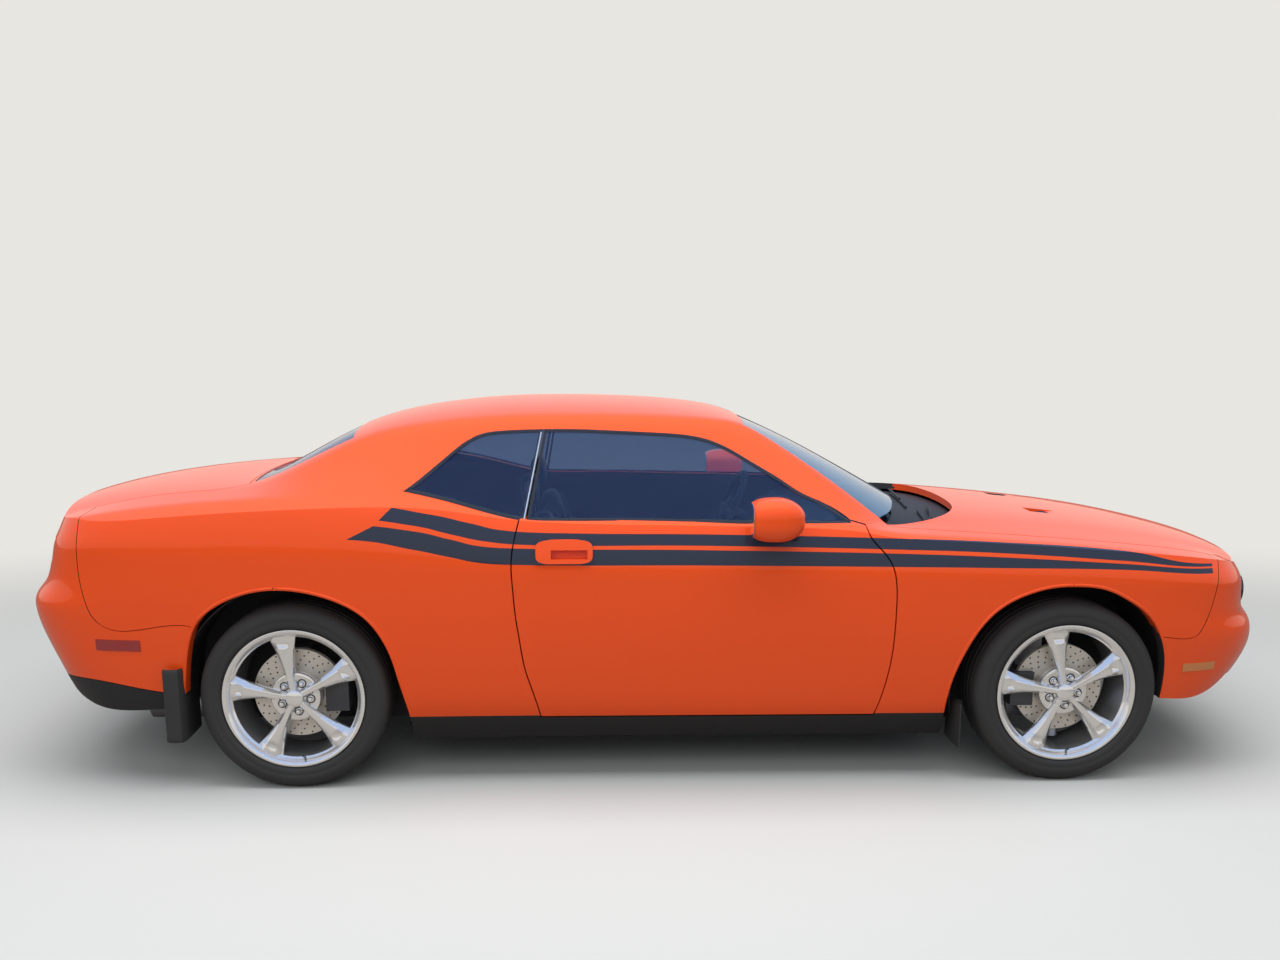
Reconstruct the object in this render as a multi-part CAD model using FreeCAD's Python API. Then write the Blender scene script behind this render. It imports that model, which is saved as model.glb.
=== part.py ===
"""Two-door muscle car, built as separate panels, glass, wheels, running gear and cabin pieces.

The car stands on its tyres. The frame's origin is on the ground below the middle of the car, +X points
to its nose, +Y to its left side and +Z up. All lengths are in millimetres.
"""
import FreeCAD
import Part
import math
import os

Vector = FreeCAD.Vector

# Overall sizes
LENGTH = 5022.0
WIDTH = 1923.0
HEIGHT = 1450.0
HALF_WIDTH = WIDTH / 2
WHEELBASE = 2946.0
TRACK = 1603.0
FRONT_OVERHANG = 954.0

# Panels, glass and the openings in the nose and tail
TOP_WALL = 28.0
SIDE_WALL = 58.0
DOOR_INNER = 838.0
GLASS_THICKNESS = 5.0
GLASS_SET_BACK = 3.0
SHUT_GAP = 5.0
PANEL_GAP = 3.0
SILL_TOP = 278.0
DOOR_TOP_RISE = 10.0
COWL_DEPTH = 40.0
COWL_SHEET = 6.0
LID_LOW = 962.0
GRILLE_LOW = 640.0
GRILLE_HIGH = 765.0
GRILLE_HALF_WIDTH = 690.0
INTAKE_LOW = 330.0
INTAKE_HIGH = 430.0
INTAKE_HALF_WIDTH = 520.0
LAMP_RADIUS = 56.0
LAMP_HEIGHT = 702.0
LAMP_PLACES = (470.0, 610.0)
LAMP_SET_BACK = 12.0
LAMP_DEPTH = 44.0
TAIL_LOW = 850.0
TAIL_HIGH = 945.0
TAIL_HALF_WIDTH = 735.0
TAIL_SPLIT = 190.0
GRILLE_BARS = (671.0, 702.0, 733.0)
INTAKE_BARS = (363.0, 396.0)
BAR_HALF = 3.5
MARKER_STAND = 3.0
HANDLE_STAND = 9.0
HANDLE_ROOM = 30.0
SCOOP_PLACE = 280.0
SCOOP_HALF = 52.0
PLATE_FACE = -2462.0
PLATE_HALF = 165.0
PLATE_LOW = 566.0
PLATE_HIGH = 724.0
PLATE_BOLTS = (177.8, 120.65)
PLATE_HOLE_RADIUS = 3.0
HOOD_FRONT_ROOM = 4.0

# Wheels
TYRE_RADIUS = 356.0
TYRE_WIDTH = 245.0
TYRE_SHOULDER = 22.0
BEAD_RADIUS = 252.0
RIM_RADIUS = 269.0
RIM_WIDTH = 236.0
RIM_SHEET = 9.0
HUB_RADIUS = 84.0
HUB_DEPTH = 40.0
SPOKES = 5
SPOKE_ROOT_WIDTH = 62.0
SPOKE_TIP_WIDTH = 104.0
SPOKE_DEPTH = 34.0
SPOKE_SET_BACK = 12.0
SPOKE_TURN = -9.5
LUG_RADIUS = 10.0
LUG_CIRCLE = 57.0
LUG_HEIGHT = 16.0
CAP_RADIUS = 34.0
CAP_HEIGHT = 6.0
SPINDLE_RADIUS = 30.0
SPINDLE_REACH = 60.0
RUNNING_CLEARANCE = 0.05
DISC_RADIUS = 172.0
DISC_THICKNESS = 28.0
DISC_OFFSET = -8.0
WELL_RADIUS = 436.0
WELL_SHEET = 5.0
FRONT_WELL_INNER = 474.0
REAR_WELL_INNER = 640.0

# Running gear
KINGPIN_OFFSET = 26.0
PIN_RADIUS = 12.0
KNUCKLE_HALF = 172.0
KNUCKLE_WIDTH = 80.0
KNUCKLE_DEPTH = 60.0
CALIPER_WIDTH = 66.0
ARM_THICKNESS = 30.0
ARM_WIDTH = 52.0
ARM_DROP = 193.0
CROSSMEMBER_HALF = 420.0
TOWER = 70.0
TOWER_HALF = 82.0
REAR_ARM_RISE = 90.0
KICK_UP_LOW = 480.0
DRIVE_HALF = 110.0
ENGINE_POST = 250.0
TUNNEL_HALF = 100.0
TUNNEL_TOP = 420.0
TUNNEL_SHEET = 8.0
TUNNEL_REAR = -1120.0
CURVE_POINTS = 24
SHAFT_RADIUS = 38.0
PIPE_RADIUS = 26.0
TIP_RADIUS = 34.0
PIPE_SHEET = 3.0
MUFFLER_RADIUS = 75.0

# Cabin
FLOOR_LOW = 170.0
FLOOR_SHEET = 34.0
BULKHEAD = 30.0
SEAT_WIDTH = 520.0
SEAT_PLACE = 380.0
WHEEL_RIM_RADIUS = 188.0
WHEEL_RIM_TUBE = 15.0
STEERING_LEAN = math.radians(25)
COLUMN_REACH = 190.0
FLAP_INNER = 700.0
FLAP_OUTER = 930.0
HEADREST_WIDTH = 230.0
MIRROR_HALF = Vector(86.0, 100.0, 68.0)
MIRROR_FOOT = 20.0

# General sizes
OVERRUN = 400.0
TOUCH = 0.001
NEAR = 0.3
SLIVER = 3000.0
MARKER_SLIVER = 500.0
SEAT_GAP = 0.3
TURN = 360.0

# Shape of the outer skin, as shares of the length, the half width and the height
centre_height_shares = (
    (0.5476, 0.4414), (0.5098, 0.5103), (0.4938, 0.5559), (0.4827, 0.5807), (0.4446, 0.6172),
    (0.3953, 0.6476), (0.3369, 0.6724), (0.2883, 0.6897), (0.2401, 0.7021), (0.219, 0.7076),
    (0.2071, 0.7131), (0.1961, 0.7276), (0.1746, 0.7717), (0.1388, 0.8393), (0.1031, 0.9007),
    (0.0767, 0.9407), (0.0591, 0.9628), (0.0243, 0.9862), (-0.0277, 0.9986), (-0.0795, 1.0021),
    (-0.1312, 0.9986), (-0.183, 0.9793), (-0.2174, 0.9559), (-0.2453, 0.9241), (-0.27, 0.8807),
    (-0.2947, 0.8331), (-0.3106, 0.8034), (-0.3226, 0.7903), (-0.3385, 0.7855), (-0.366, 0.7834),
    (-0.3917, 0.7779), (-0.4263, 0.7641), (-0.4524, 0.7476), (-0.4787, 0.7241), (-0.4918, 0.7048),
    (-0.5098, 0.669), (-0.5476, 0.5931),
)
rail_shares = (
    (0.5476, 0.5824, 0.4138), (0.4978, 0.598, 0.4862), (0.4679, 0.624, 0.5517),
    (0.4381, 0.6448, 0.5986), (0.3953, 0.6531, 0.629), (0.3369, 0.6594, 0.6531),
    (0.2883, 0.6656, 0.669), (0.2401, 0.6812, 0.6814), (0.1991, 0.7436, 0.6793),
    (0.1792, 0.78, 0.6793), (0.1693, 0.7956, 0.6897), (0.1474, 0.7592, 0.7483),
    (0.1195, 0.7176, 0.8207), (0.0896, 0.676, 0.8897), (0.0649, 0.6427, 0.9434),
    (0.0398, 0.6469, 0.9552), (0.0, 0.6552, 0.9621), (-0.0597, 0.6573, 0.9655),
    (-0.1195, 0.6573, 0.9628), (-0.1693, 0.6531, 0.9483), (-0.2031, 0.6469, 0.931),
    (-0.225, 0.6427, 0.9117), (-0.2489, 0.6469, 0.8759), (-0.2728, 0.6573, 0.8379),
    (-0.2927, 0.6677, 0.8055), (-0.3106, 0.6812, 0.7834), (-0.3286, 0.6916, 0.7759),
    (-0.3684, 0.6989, 0.7669), (-0.4082, 0.6947, 0.7462), (-0.4381, 0.6812, 0.7241),
    (-0.458, 0.6656, 0.7034), (-0.4779, 0.6448, 0.6793), (-0.5098, 0.624, 0.6414),
    (-0.5476, 0.6032, 0.5931),
)
glass_base_shares = (
    (0.5476, 0.936, 0.4414), (0.4679, 0.9412, 0.5483), (0.4381, 0.9412, 0.5828),
    (0.3982, 0.9444, 0.6069), (0.3544, 0.9464, 0.6276), (0.3027, 0.9444, 0.6448),
    (0.2509, 0.9412, 0.6572), (0.2111, 0.934, 0.6648), (0.1852, 0.9288, 0.6703),
    (0.1693, 0.9236, 0.6772), (0.1573, 0.9215, 0.6841), (0.1454, 0.9194, 0.6917),
    (0.1235, 0.9236, 0.6952), (0.0956, 0.9288, 0.6972), (0.0538, 0.9288, 0.6986),
    (0.0, 0.9288, 0.7021), (-0.0597, 0.9288, 0.7048), (-0.0996, 0.9277, 0.7103),
    (-0.1195, 0.9256, 0.7207), (-0.1394, 0.9225, 0.7352), (-0.1693, 0.9152, 0.7531),
    (-0.1991, 0.9069, 0.7641), (-0.2389, 0.8996, 0.769), (-0.2828, 0.8944, 0.7669),
    (-0.3226, 0.8924, 0.7607), (-0.3684, 0.8892, 0.7483), (-0.4082, 0.882, 0.731),
    (-0.4381, 0.8684, 0.7124), (-0.4679, 0.8476, 0.6897), (-0.5098, 0.8216, 0.6483),
    (-0.5476, 0.7904, 0.5931),
)
row_place_shares = (
    (0.5476, 0.5476, 0.5476), (0.5098, 0.5058, 0.4978), (0.4859, 0.4779, 0.4679),
    (0.458, 0.45, 0.4381), (0.4182, 0.4102, 0.3982), (0.3684, 0.3624, 0.3544),
    (0.3186, 0.3126, 0.3027), (0.2688, 0.2628, 0.2509), (0.235, 0.225, 0.2111),
    (0.2111, 0.1961, 0.1852), (0.2011, 0.1802, 0.1693), (0.1941, 0.1693, 0.1573),
    (0.1792, 0.1573, 0.1454), (0.1474, 0.1294, 0.1235), (0.1115, 0.0996, 0.0956),
    (0.0796, 0.0747, 0.0717), (0.0617, 0.0577, 0.0538), (0.0398, 0.0358, 0.0319), (0.0, 0.0, 0.0),
    (-0.0597, -0.0597, -0.0597), (-0.1195, -0.1195, -0.1115), (-0.1693, -0.1653, -0.1394),
    (-0.2091, -0.2031, -0.1693), (-0.235, -0.225, -0.1991), (-0.2589, -0.2489, -0.229),
    (-0.2828, -0.2728, -0.2589), (-0.3027, -0.2927, -0.2828), (-0.3186, -0.3106, -0.3027),
    (-0.3345, -0.3286, -0.3226), (-0.3684, -0.3664, -0.3624), (-0.4082, -0.4062, -0.4042),
    (-0.4381, -0.4361, -0.4321), (-0.464, -0.458, -0.452), (-0.4879, -0.4779, -0.4679),
    (-0.5098, -0.5098, -0.5098), (-0.5476, -0.5476, -0.5476),
)
crease_height_shares = (
    (-0.5, 0.6497), (-0.4403, 0.6497), (-0.2913, 0.6469), (-0.227, 0.6428), (-0.1792, 0.6241),
    (-0.1394, 0.6055), (-0.1085, 0.5952), (-0.0094, 0.5897), (0.1018, 0.5841), (0.1762, 0.5779),
    (0.2513, 0.5724), (0.3268, 0.5628), (0.403, 0.5448), (0.458, 0.5276), (0.5, 0.5172),
)
shoulder_height_shares = (
    (-0.5, 0.6897), (-0.4566, 0.7034), (-0.4162, 0.7255), (-0.3783, 0.7414), (-0.3186, 0.7572),
    (-0.2788, 0.76), (-0.2389, 0.7552), (-0.1991, 0.7428), (-0.1693, 0.7283), (-0.1416, 0.7076),
    (-0.1093, 0.6897), (-0.0597, 0.6841), (0.0285, 0.6814), (0.1547, 0.671), (0.1955, 0.6655),
    (0.2451, 0.6572), (0.2947, 0.6455), (0.3445, 0.6317), (0.3947, 0.6097), (0.4204, 0.5917),
    (0.4381, 0.5807), (0.4679, 0.5669), (0.5, 0.5586),
)
side_half_width_shares = (
    (-0.4102, 0.9672), (-0.3783, 0.986), (-0.3286, 0.9964), (-0.2788, 1.0), (-0.219, 0.9953),
    (-0.1593, 0.988), (-0.0996, 0.9839), (0.0, 0.9839), (0.0996, 0.9849), (0.1693, 0.986),
    (0.2389, 0.9891), (0.2987, 0.9912), (0.3485, 0.9849), (0.3943, 0.962),
)
rear_plan_shares = (
    (-0.5, 0.0), (-0.5, 0.208), (-0.4958, 0.468), (-0.4859, 0.676), (-0.4719, 0.832),
    (-0.444, 0.9288), (-0.4102, 0.9672),
)
front_plan_shares = (
    (0.3943, 0.962), (0.4341, 0.9152), (0.462, 0.8216), (0.4799, 0.6656), (0.4928, 0.468),
    (0.5, 0.208), (0.5, 0.0),
)
lower_row_shares = (
    (0.1172, 0.1172, 0.1172, 0.0657, 0.0657, 0.1352),
    (0.2069, 0.1807, 0.169, 0.0299, 0.0378, 0.0645),
    (0.2552, 0.2379, 0.2276, 0.0219, 0.0199, 0.0458),
    (0.3172, 0.2966, 0.2828, 0.0149, 0.0084, 0.0333),
    (0.3931, 0.3586, 0.3379, 0.005, 0.0008, 0.0218), (0.4552, 0.4138, 0.3724, 0.0, 0.0, 0.0135),
    (0.4931, 0.4586, 0.4055, 0.0002, 0.0016, 0.0094),
    (0.5186, 0.4966, 0.4317, 0.008, 0.0096, 0.0062), (0.5517, 0.5276, 0.4621, 0.0143, 0.011, 0.0042),
)
upper_row_shares = (
    (-0.35, 0.0189, 0.0114, 0.0021), (0.0, 0.0209, 0.0123, 0.0), (0.5, 0.0243, 0.0149, 0.0125),
    (1.0, 0.0267, 0.0189, 0.0291),
)
front_arch_shares = (
    (0.2184, 0.1379), (0.219, 0.2324), (0.2226, 0.2931), (0.2294, 0.3572), (0.2403, 0.4276),
    (0.2541, 0.4793), (0.2718, 0.5138), (0.2935, 0.5345), (0.3116, 0.5372), (0.3321, 0.5283),
    (0.3511, 0.4986), (0.3668, 0.46), (0.3781, 0.4069), (0.3847, 0.3448), (0.3867, 0.2793),
    (0.3863, 0.2069), (0.3863, 0.1379),
)
rear_arch_shares = (
    (-0.3574, 0.1379), (-0.3564, 0.2759), (-0.3532, 0.3497), (-0.3493, 0.4062), (-0.3423, 0.4552),
    (-0.3299, 0.4931), (-0.3138, 0.5207), (-0.2941, 0.5372), (-0.2748, 0.5379), (-0.2555, 0.5255),
    (-0.2362, 0.5007), (-0.221, 0.4655), (-0.2099, 0.4159), (-0.2027, 0.3593), (-0.1975, 0.2876),
    (-0.1922, 0.2117), (-0.1902, 0.1379),
)
door_rear_edge_shares = (
    (-0.0914, 0.1862), (-0.097, 0.2593), (-0.1027, 0.3269), (-0.1063, 0.4076), (-0.1085, 0.46),
    (-0.1103, 0.54), (-0.1111, 0.5993), (-0.1095, 0.6503), (-0.1075, 0.6814), (-0.1049, 0.7152),
)
door_front_edge_shares = (
    (0.1631, 0.1862), (0.1693, 0.2634), (0.1728, 0.331), (0.1744, 0.4007), (0.1748, 0.4717),
    (0.1738, 0.5517), (0.1706, 0.5938), (0.1607, 0.64), (0.1547, 0.6648), (0.1527, 0.691),
)
window_top_shares = (
    (-0.1914, 0.7821), (-0.1756, 0.8228), (-0.1571, 0.8759), (-0.144, 0.9076), (-0.1326, 0.9221),
    (-0.1193, 0.9276), (-0.0924, 0.931), (-0.0615, 0.931), (-0.0327, 0.9269), (-0.0038, 0.9221),
    (0.0213, 0.9152), (0.0386, 0.9021), (0.0538, 0.8793), (0.0727, 0.8414), (0.0914, 0.8034),
    (0.1039, 0.7752), (0.1231, 0.7448), (0.1446, 0.6959),
)
window_bottom_shares = (
    (0.1422, 0.6945), (0.0667, 0.6986), (-0.0052, 0.7041), (-0.0617, 0.7069), (-0.0994, 0.709),
    (-0.1183, 0.72), (-0.1372, 0.7366), (-0.1561, 0.7545), (-0.1752, 0.7697), (-0.1914, 0.7807),
)
rear_bumper_split_shares = (
    (-0.4299, 0.7586), (-0.4307, 0.6241), (-0.4297, 0.5593), (-0.4263, 0.5062), (-0.4217, 0.4662),
    (-0.415, 0.4428), (-0.3893, 0.4317), (-0.3385, 0.4234),
)
front_bumper_split_shares = (
    (0.3684, 0.3883), (0.4022, 0.3883), (0.4102, 0.3966), (0.4142, 0.4138), (0.4198, 0.4572),
    (0.4239, 0.5124), (0.4281, 0.5862),
)
hood_rear_shares = (
    (0.2513, 0.0), (0.2499, 0.208), (0.2439, 0.416), (0.229, 0.5824), (0.2071, 0.6989),
    (0.1852, 0.7676), (0.1736, 0.8029),
)
hood_side_shares = (
    (0.456, 0.6656), (0.4381, 0.728), (0.3982, 0.7925), (0.3385, 0.832), (0.2788, 0.8445),
    (0.229, 0.8404), (0.1912, 0.8216),
)
hood_front_shares = (
    (0.4859, 0.0), (0.4829, 0.26), (0.4719, 0.4992), (0.456, 0.6656),
)
windshield_base_shares = (
    (0.2011, 0.0), (0.1991, 0.2288), (0.1922, 0.468), (0.1802, 0.6656), (0.1685, 0.7748),
)
windshield_side_shares = (
    (0.1685, 0.7748), (0.1394, 0.7197), (0.1035, 0.6656), (0.0657, 0.6136),
)
windshield_head_shares = (
    (0.0701, 0.0), (0.0687, 0.312), (0.0657, 0.6136),
)
rear_window_head_shares = (
    (-0.2419, 0.0), (-0.2409, 0.312), (-0.237, 0.5824),
)
rear_window_side_shares = (
    (-0.237, 0.5824), (-0.2788, 0.6032), (-0.3136, 0.6136),
)
rear_window_base_shares = (
    (-0.3202, 0.0), (-0.3186, 0.312), (-0.3136, 0.6136),
)
boot_front_shares = (
    (-0.323, 0.0), (-0.3214, 0.312), (-0.3166, 0.6344),
)
boot_side_shares = (
    (-0.3166, 0.6344), (-0.3266, 0.6739), (-0.3783, 0.6906), (-0.4281, 0.6968), (-0.458, 0.6947),
)
valance_shares = (
    (-0.3385, 0.2648), (-0.3664, 0.2607), (-0.4369, 0.2924), (-0.45, 0.2897), (-0.5177, 0.2897),
)
roof_seam_shares = (
    (-0.1914, 0.7821), (-0.0796, 0.8621), (0.1195, 0.7517), (0.1464, 0.6917), (0.219, 0.6917),
    (0.219, 1.1034), (-0.237, 1.1034), (-0.237, 0.9276),
)
window_divide_shares = (
    (-0.0777, 1.1034), (-0.0894, 0.9152), (-0.1004, 0.7166), (-0.1085, 0.5862),
)
seat_cushion_shares = (
    (-0.0498, 0.2069), (-0.0518, 0.2759), (-0.0358, 0.3034), (0.0299, 0.3103), (0.0577, 0.2966),
    (0.0597, 0.2414), (0.0558, 0.2069),
)
seat_back_shares = (
    (-0.0597, 0.2276), (-0.0796, 0.3586), (-0.0996, 0.5241), (-0.1085, 0.6621), (-0.0996, 0.6966),
    (-0.0856, 0.6897), (-0.0757, 0.5517), (-0.0577, 0.3862), (-0.0522, 0.2897), (-0.0522, 0.2276),
)
rear_seat_shares = (
    (-0.229, 0.2069), (-0.229, 0.3586), (-0.2648, 0.5931), (-0.2569, 0.6414), (-0.2389, 0.6207),
    (-0.2071, 0.3862), (-0.1394, 0.3241), (-0.1195, 0.2966), (-0.1195, 0.2069),
)
dashboard_shares = (
    (0.1115, 0.4414), (0.1035, 0.5379), (0.1115, 0.6207), (0.1274, 0.6517), (0.1712, 0.6552),
    (0.18393, 0.6207), (0.18393, 0.4414),
)
# How the plan corners and the top of the belt follow the rows, and how the roof's crown and the flanks run
side_share = 0.45
cap_share = 1.05
top_row_shares = ((0.1, 0.0319, 0.0259, 0.052), (0.35, 0.0319, 0.0259, 0.078), (1.0, 0.0319, 0.0259, 0.0936))
corner_weight_shares = (1.0, 1.0, 1.0, 1.0, 0.9, 0.6, 0.25)
inset_weight_shares = (0.0, 0.1, 0.25, 0.4, 0.7, 0.9, 1.0)
crown_shares = ((0.0, 0.0, 0.0), (0.35, 0.06, 0.1), (0.7, 0.32, 0.38), (0.9, 0.72, 0.72))
flank_shares = (0.0, 0.16, 0.5, 0.86, 1.0)
shelf_shares = ((0.031, 0.01), (0.14, 0.045))
hat_share = 0.8
half_share = 0.5

# Places of what the body carries
floor_line_shares = (
    (0.19, 0.1407), (-0.1115, 0.1407), (-0.1195, 0.2067), (-0.229, 0.2067), (-0.239, 0.3545), (-0.3226, 0.3545),
    (-0.3385, 0.2276), (-0.4241, 0.2276), (-0.4241, 0.2041), (-0.3333, 0.2041), (-0.3176, 0.3312),
    (-0.2438, 0.3312), (-0.2338, 0.1834), (-0.1243, 0.1834), (-0.1163, 0.1172), (0.19, 0.1172),
)
firewall_share = 0.75
shelf_place_shares = (-0.31, -0.24)
shelf_height_share = 0.71
flap_shares = ((-0.3647, 0.138, 0.2038), (0.2221, 0.1186, 0.216))
engine_shares = (0.225, 0.36, 0.31, 0.24, 0.6)
steering_place_shares = (0.074, 0.62)
mirror_shares = (0.0816, 1.061, 0.739)
tail_edge_shares = (
    (-0.33, 0.2159), (-0.3555, 0.2159), (-0.3754, 0.2152), (-0.4035, 0.2076), (-0.436, 0.2179), (-0.4537, 0.251),
)
nose_edge_shares = ((0.3668, 0.2221), (0.3867, 0.2214), (0.3989, 0.2172), (0.412, 0.2145), (0.4275, 0.2228), (0.4482, 0.2669))
headrest_shares = ((-0.1085, 0.69), (-0.0976, 0.69), (-0.0946, 0.745), (-0.0966, 0.792), (-0.1075, 0.795), (-0.1105, 0.75))
handle_shares = (
    ((-0.0934, 0.6035), (-0.0934, 0.6566), (-0.0896, 0.6635), (-0.0554, 0.6635), (-0.0516, 0.6586), (-0.0516, 0.6103),
     (-0.0554, 0.6035)),
    ((-0.0822, 0.6145), (-0.0822, 0.6379), (-0.0554, 0.6379), (-0.0554, 0.6145)),
)
scoop_shares = ((0.3136, 0.6619), (0.3136, 0.8), (0.3385, 0.8), (0.3385, 0.6686))
exhaust_pipe_shares = ((0.2589, 0.2912, 0.2398), (0.2589, 0.2912, 0.0991), (-0.3106, 0.2912, 0.0991),
                       (-0.3465, 0.4472, 0.1522))
muffler_shares = (-0.3465, -0.4142, 0.4472, 0.1522)
tail_pipe_shares = ((-0.4142, 0.4472, 0.1522), (-0.4654, 0.4992, 0.2048))
front_marker_shares = (0.4014, 0.4301, 0.2959, 0.3193)
rear_marker_shares = (-0.421, -0.3867, 0.3766, 0.4062)

DEGREE = 3


def scaled(shares, sizes):
    """Points in millimetres from a table of shares, one size to a column, in rising order."""
    points = [tuple(share * size for share, size in zip(row, sizes)) for row in shares]
    return sorted(points)


def along(points, place, column=1):
    """Value of a column at a place, on a smooth curve through points that are sorted by place."""
    if place <= points[0][0]:
        return points[0][column]
    if place >= points[-1][0]:
        return points[-1][column]
    after = next(index for index, point in enumerate(points) if point[0] > place)
    before = after - 1

    def slope(index):
        low, high = max(index - 1, 0), min(index + 1, len(points) - 1)
        return (points[high][column] - points[low][column]) / (points[high][0] - points[low][0])

    step = points[after][0] - points[before][0]
    part = (place - points[before][0]) / step
    start, end = points[before][column], points[after][column]
    cubic = 2 * part ** 3 - 3 * part ** 2 + 1
    return (cubic * start + (1 - cubic) * end + step * slope(before) * (part ** 3 - 2 * part ** 2 + part)
            + step * slope(after) * (part ** 3 - part ** 2))


centre_line = scaled(centre_height_shares, (LENGTH, HEIGHT))
rail_line = scaled(rail_shares, (LENGTH, HALF_WIDTH, HEIGHT))
base_line = scaled(glass_base_shares, (LENGTH, HALF_WIDTH, HEIGHT))
crease_line = scaled(crease_height_shares, (LENGTH, HEIGHT))
shoulder_line = scaled(shoulder_height_shares, (LENGTH, HEIGHT))
side_line = scaled(side_half_width_shares, (LENGTH, HALF_WIDTH))
rear_plan = [(x * LENGTH, y * HALF_WIDTH) for x, y in rear_plan_shares]
front_plan = [(x * LENGTH, y * HALF_WIDTH) for x, y in front_plan_shares]


def surface_face(net):
    """Smooth face drawn by a net of control points."""
    rows, columns = len(net), len(net[0])
    multiplicities = [[DEGREE + 1] + [1] * (count - DEGREE - 1) + [DEGREE + 1] for count in (rows, columns)]
    knots = [[float(index) for index in range(len(row))] for row in multiplicities]
    surface = Part.BSplineSurface()
    surface.buildFromPolesMultsKnots(net, multiplicities[0], multiplicities[1], knots[0], knots[1],
                                     False, False, DEGREE, DEGREE)
    return surface.toShape()


def net_normal(net, row, column):
    """Unit normal of a net at one of its points, from its neighbours."""
    above, below = net[max(row - 1, 0)][column], net[min(row + 1, len(net) - 1)][column]
    left, right = net[row][max(column - 1, 0)], net[row][min(column + 1, len(net[0]) - 1)]
    return below.sub(above).cross(right.sub(left)).normalize()


def belt_net(wall):
    """Control net of the body's left side, from the rear's middle round to the nose's middle, set in by a wall."""
    plan = rear_plan + side_line[1:-1] + front_plan
    rear_count, front_count = len(rear_plan), len(front_plan)
    lower = [(rear * HEIGHT, middle * HEIGHT, front * HEIGHT, rear_pull * LENGTH, front_pull * LENGTH,
              inset * HALF_WIDTH) for rear, middle, front, rear_pull, front_pull, inset in lower_row_shares]
    net = []
    for index in range(len(lower) + len(upper_row_shares) + len(top_row_shares)):
        row = []
        for place, (x, y) in enumerate(plan):
            crease, shoulder = along(crease_line, x), along(shoulder_line, x)
            if index < len(lower):
                rear, middle, front, rear_pull, front_pull, inset = lower[index]
                levels = [(-LENGTH * side_share, rear), (0, middle), (LENGTH * side_share, front)]
                z = along(levels, x)
            elif index < len(lower) + len(upper_row_shares):
                rise, rear_pull, front_pull, inset = upper_row_shares[index - len(lower)]
                rear_pull, front_pull, inset = rear_pull * LENGTH, front_pull * LENGTH, inset * HALF_WIDTH
                z = crease + rise * (shoulder - crease)
            else:
                level, rear_pull, front_pull, inset = top_row_shares[index - len(lower) - len(upper_row_shares)]
                rear_pull, front_pull, inset = rear_pull * LENGTH, front_pull * LENGTH, inset * HALF_WIDTH
                z = shoulder + level * (HEIGHT * cap_share - shoulder)
            rear_weight = corner_weight_shares[place] if place < rear_count else 0
            mirrored = len(plan) - 1 - place
            front_weight = corner_weight_shares[mirrored] if mirrored < front_count else 0
            inset_weight = inset_weight_shares[min(place, mirrored)] if min(place, mirrored) < rear_count else 1
            row.append(Vector(x + rear_pull * rear_weight - front_pull * front_weight,
                              max(y - inset * inset_weight, 0), z))
        net.append(row)
    if not wall:
        return net
    moved = []
    for row_index, row in enumerate(net):
        moved_row = []
        for column, point in enumerate(row):
            normal = net_normal(net, row_index, column)
            flat = Vector(normal.x, 0 if point.y == 0 else normal.y, 0).normalize()
            inward = flat if flat.x * point.x + flat.y * point.y < 0 else flat * -1
            shifted = point.add(inward * wall)
            moved_row.append(Vector(shifted.x, max(shifted.y, 0), shifted.z))
        moved.append(moved_row)
    return moved


def belt_solid(wall):
    """Closed body of everything within the car's sides, nose and tail, set in by a wall."""
    left = surface_face(belt_net(wall))
    right = left.mirror(Vector(0, 0, 0), Vector(0, 1, 0))
    faces = [left, right]
    for level in (left.BoundBox.ZMin, left.BoundBox.ZMax):
        rims = [edge for face in (left, right) for edge in face.Edges
                if abs(edge.BoundBox.ZMin - level) < NEAR and edge.BoundBox.ZLength < NEAR]
        faces.append(Part.Face(Part.Wire(Part.__sortEdges__(rims))))
    shell = Part.Shell(faces)
    shell.sewShape()
    solid = Part.Solid(shell)
    if solid.Volume < 0:
        solid.reverse()
    return solid


def skin_net(wall):
    """Control net of the hood, glass, roof and deck over the full width, set in by a wall along its normals."""
    half = []
    for centre_share, rail_share, base_share in row_place_shares:
        centre, rail, base = centre_share * LENGTH, rail_share * LENGTH, base_share * LENGTH
        rail_y, rail_z = along(rail_line, rail), along(rail_line, rail, 2)
        base_y, base_z = along(base_line, base), along(base_line, base, 2)
        crown_z = along(centre_line, centre)
        row = []
        for across, drop, bow in crown_shares:
            row.append(Vector(centre + bow * (rail - centre), across * rail_y, crown_z + drop * (rail_z - crown_z)))
        for across in flank_shares:
            row.append(Vector(rail + across * (base - rail), rail_y + across * (base_y - rail_y),
                              rail_z + across * (base_z - rail_z)))
        for outward, drop in shelf_shares:
            row.append(Vector(base, base_y + outward * HALF_WIDTH, base_z - drop * HEIGHT))
        half.append(row)
    net = [[Vector(point.x, -point.y, point.z) for point in row[:0:-1]] + row for row in half]
    if not wall:
        return net
    return [[point.add(net_normal(net, row_index, column) * (wall * skin_side(net, row_index, column)))
             for column, point in enumerate(row)] for row_index, row in enumerate(net)]


def skin_side(net, row, column):
    """Sign that turns a net normal inwards, towards the ground."""
    return -1 if net_normal(net, row, column).z > 0 else 1


def under_skin_solid(wall):
    """Closed body of everything below the hood, glass, roof and deck, set in by a wall."""
    return surface_face(skin_net(wall)).extrude(Vector(0, 0, -HEIGHT * 2))


def body_volume(side_wall, top_wall):
    """Solid car body, with its sides and its top set in by their walls."""
    return belt_solid(side_wall).common(under_skin_solid(top_wall))


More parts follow.
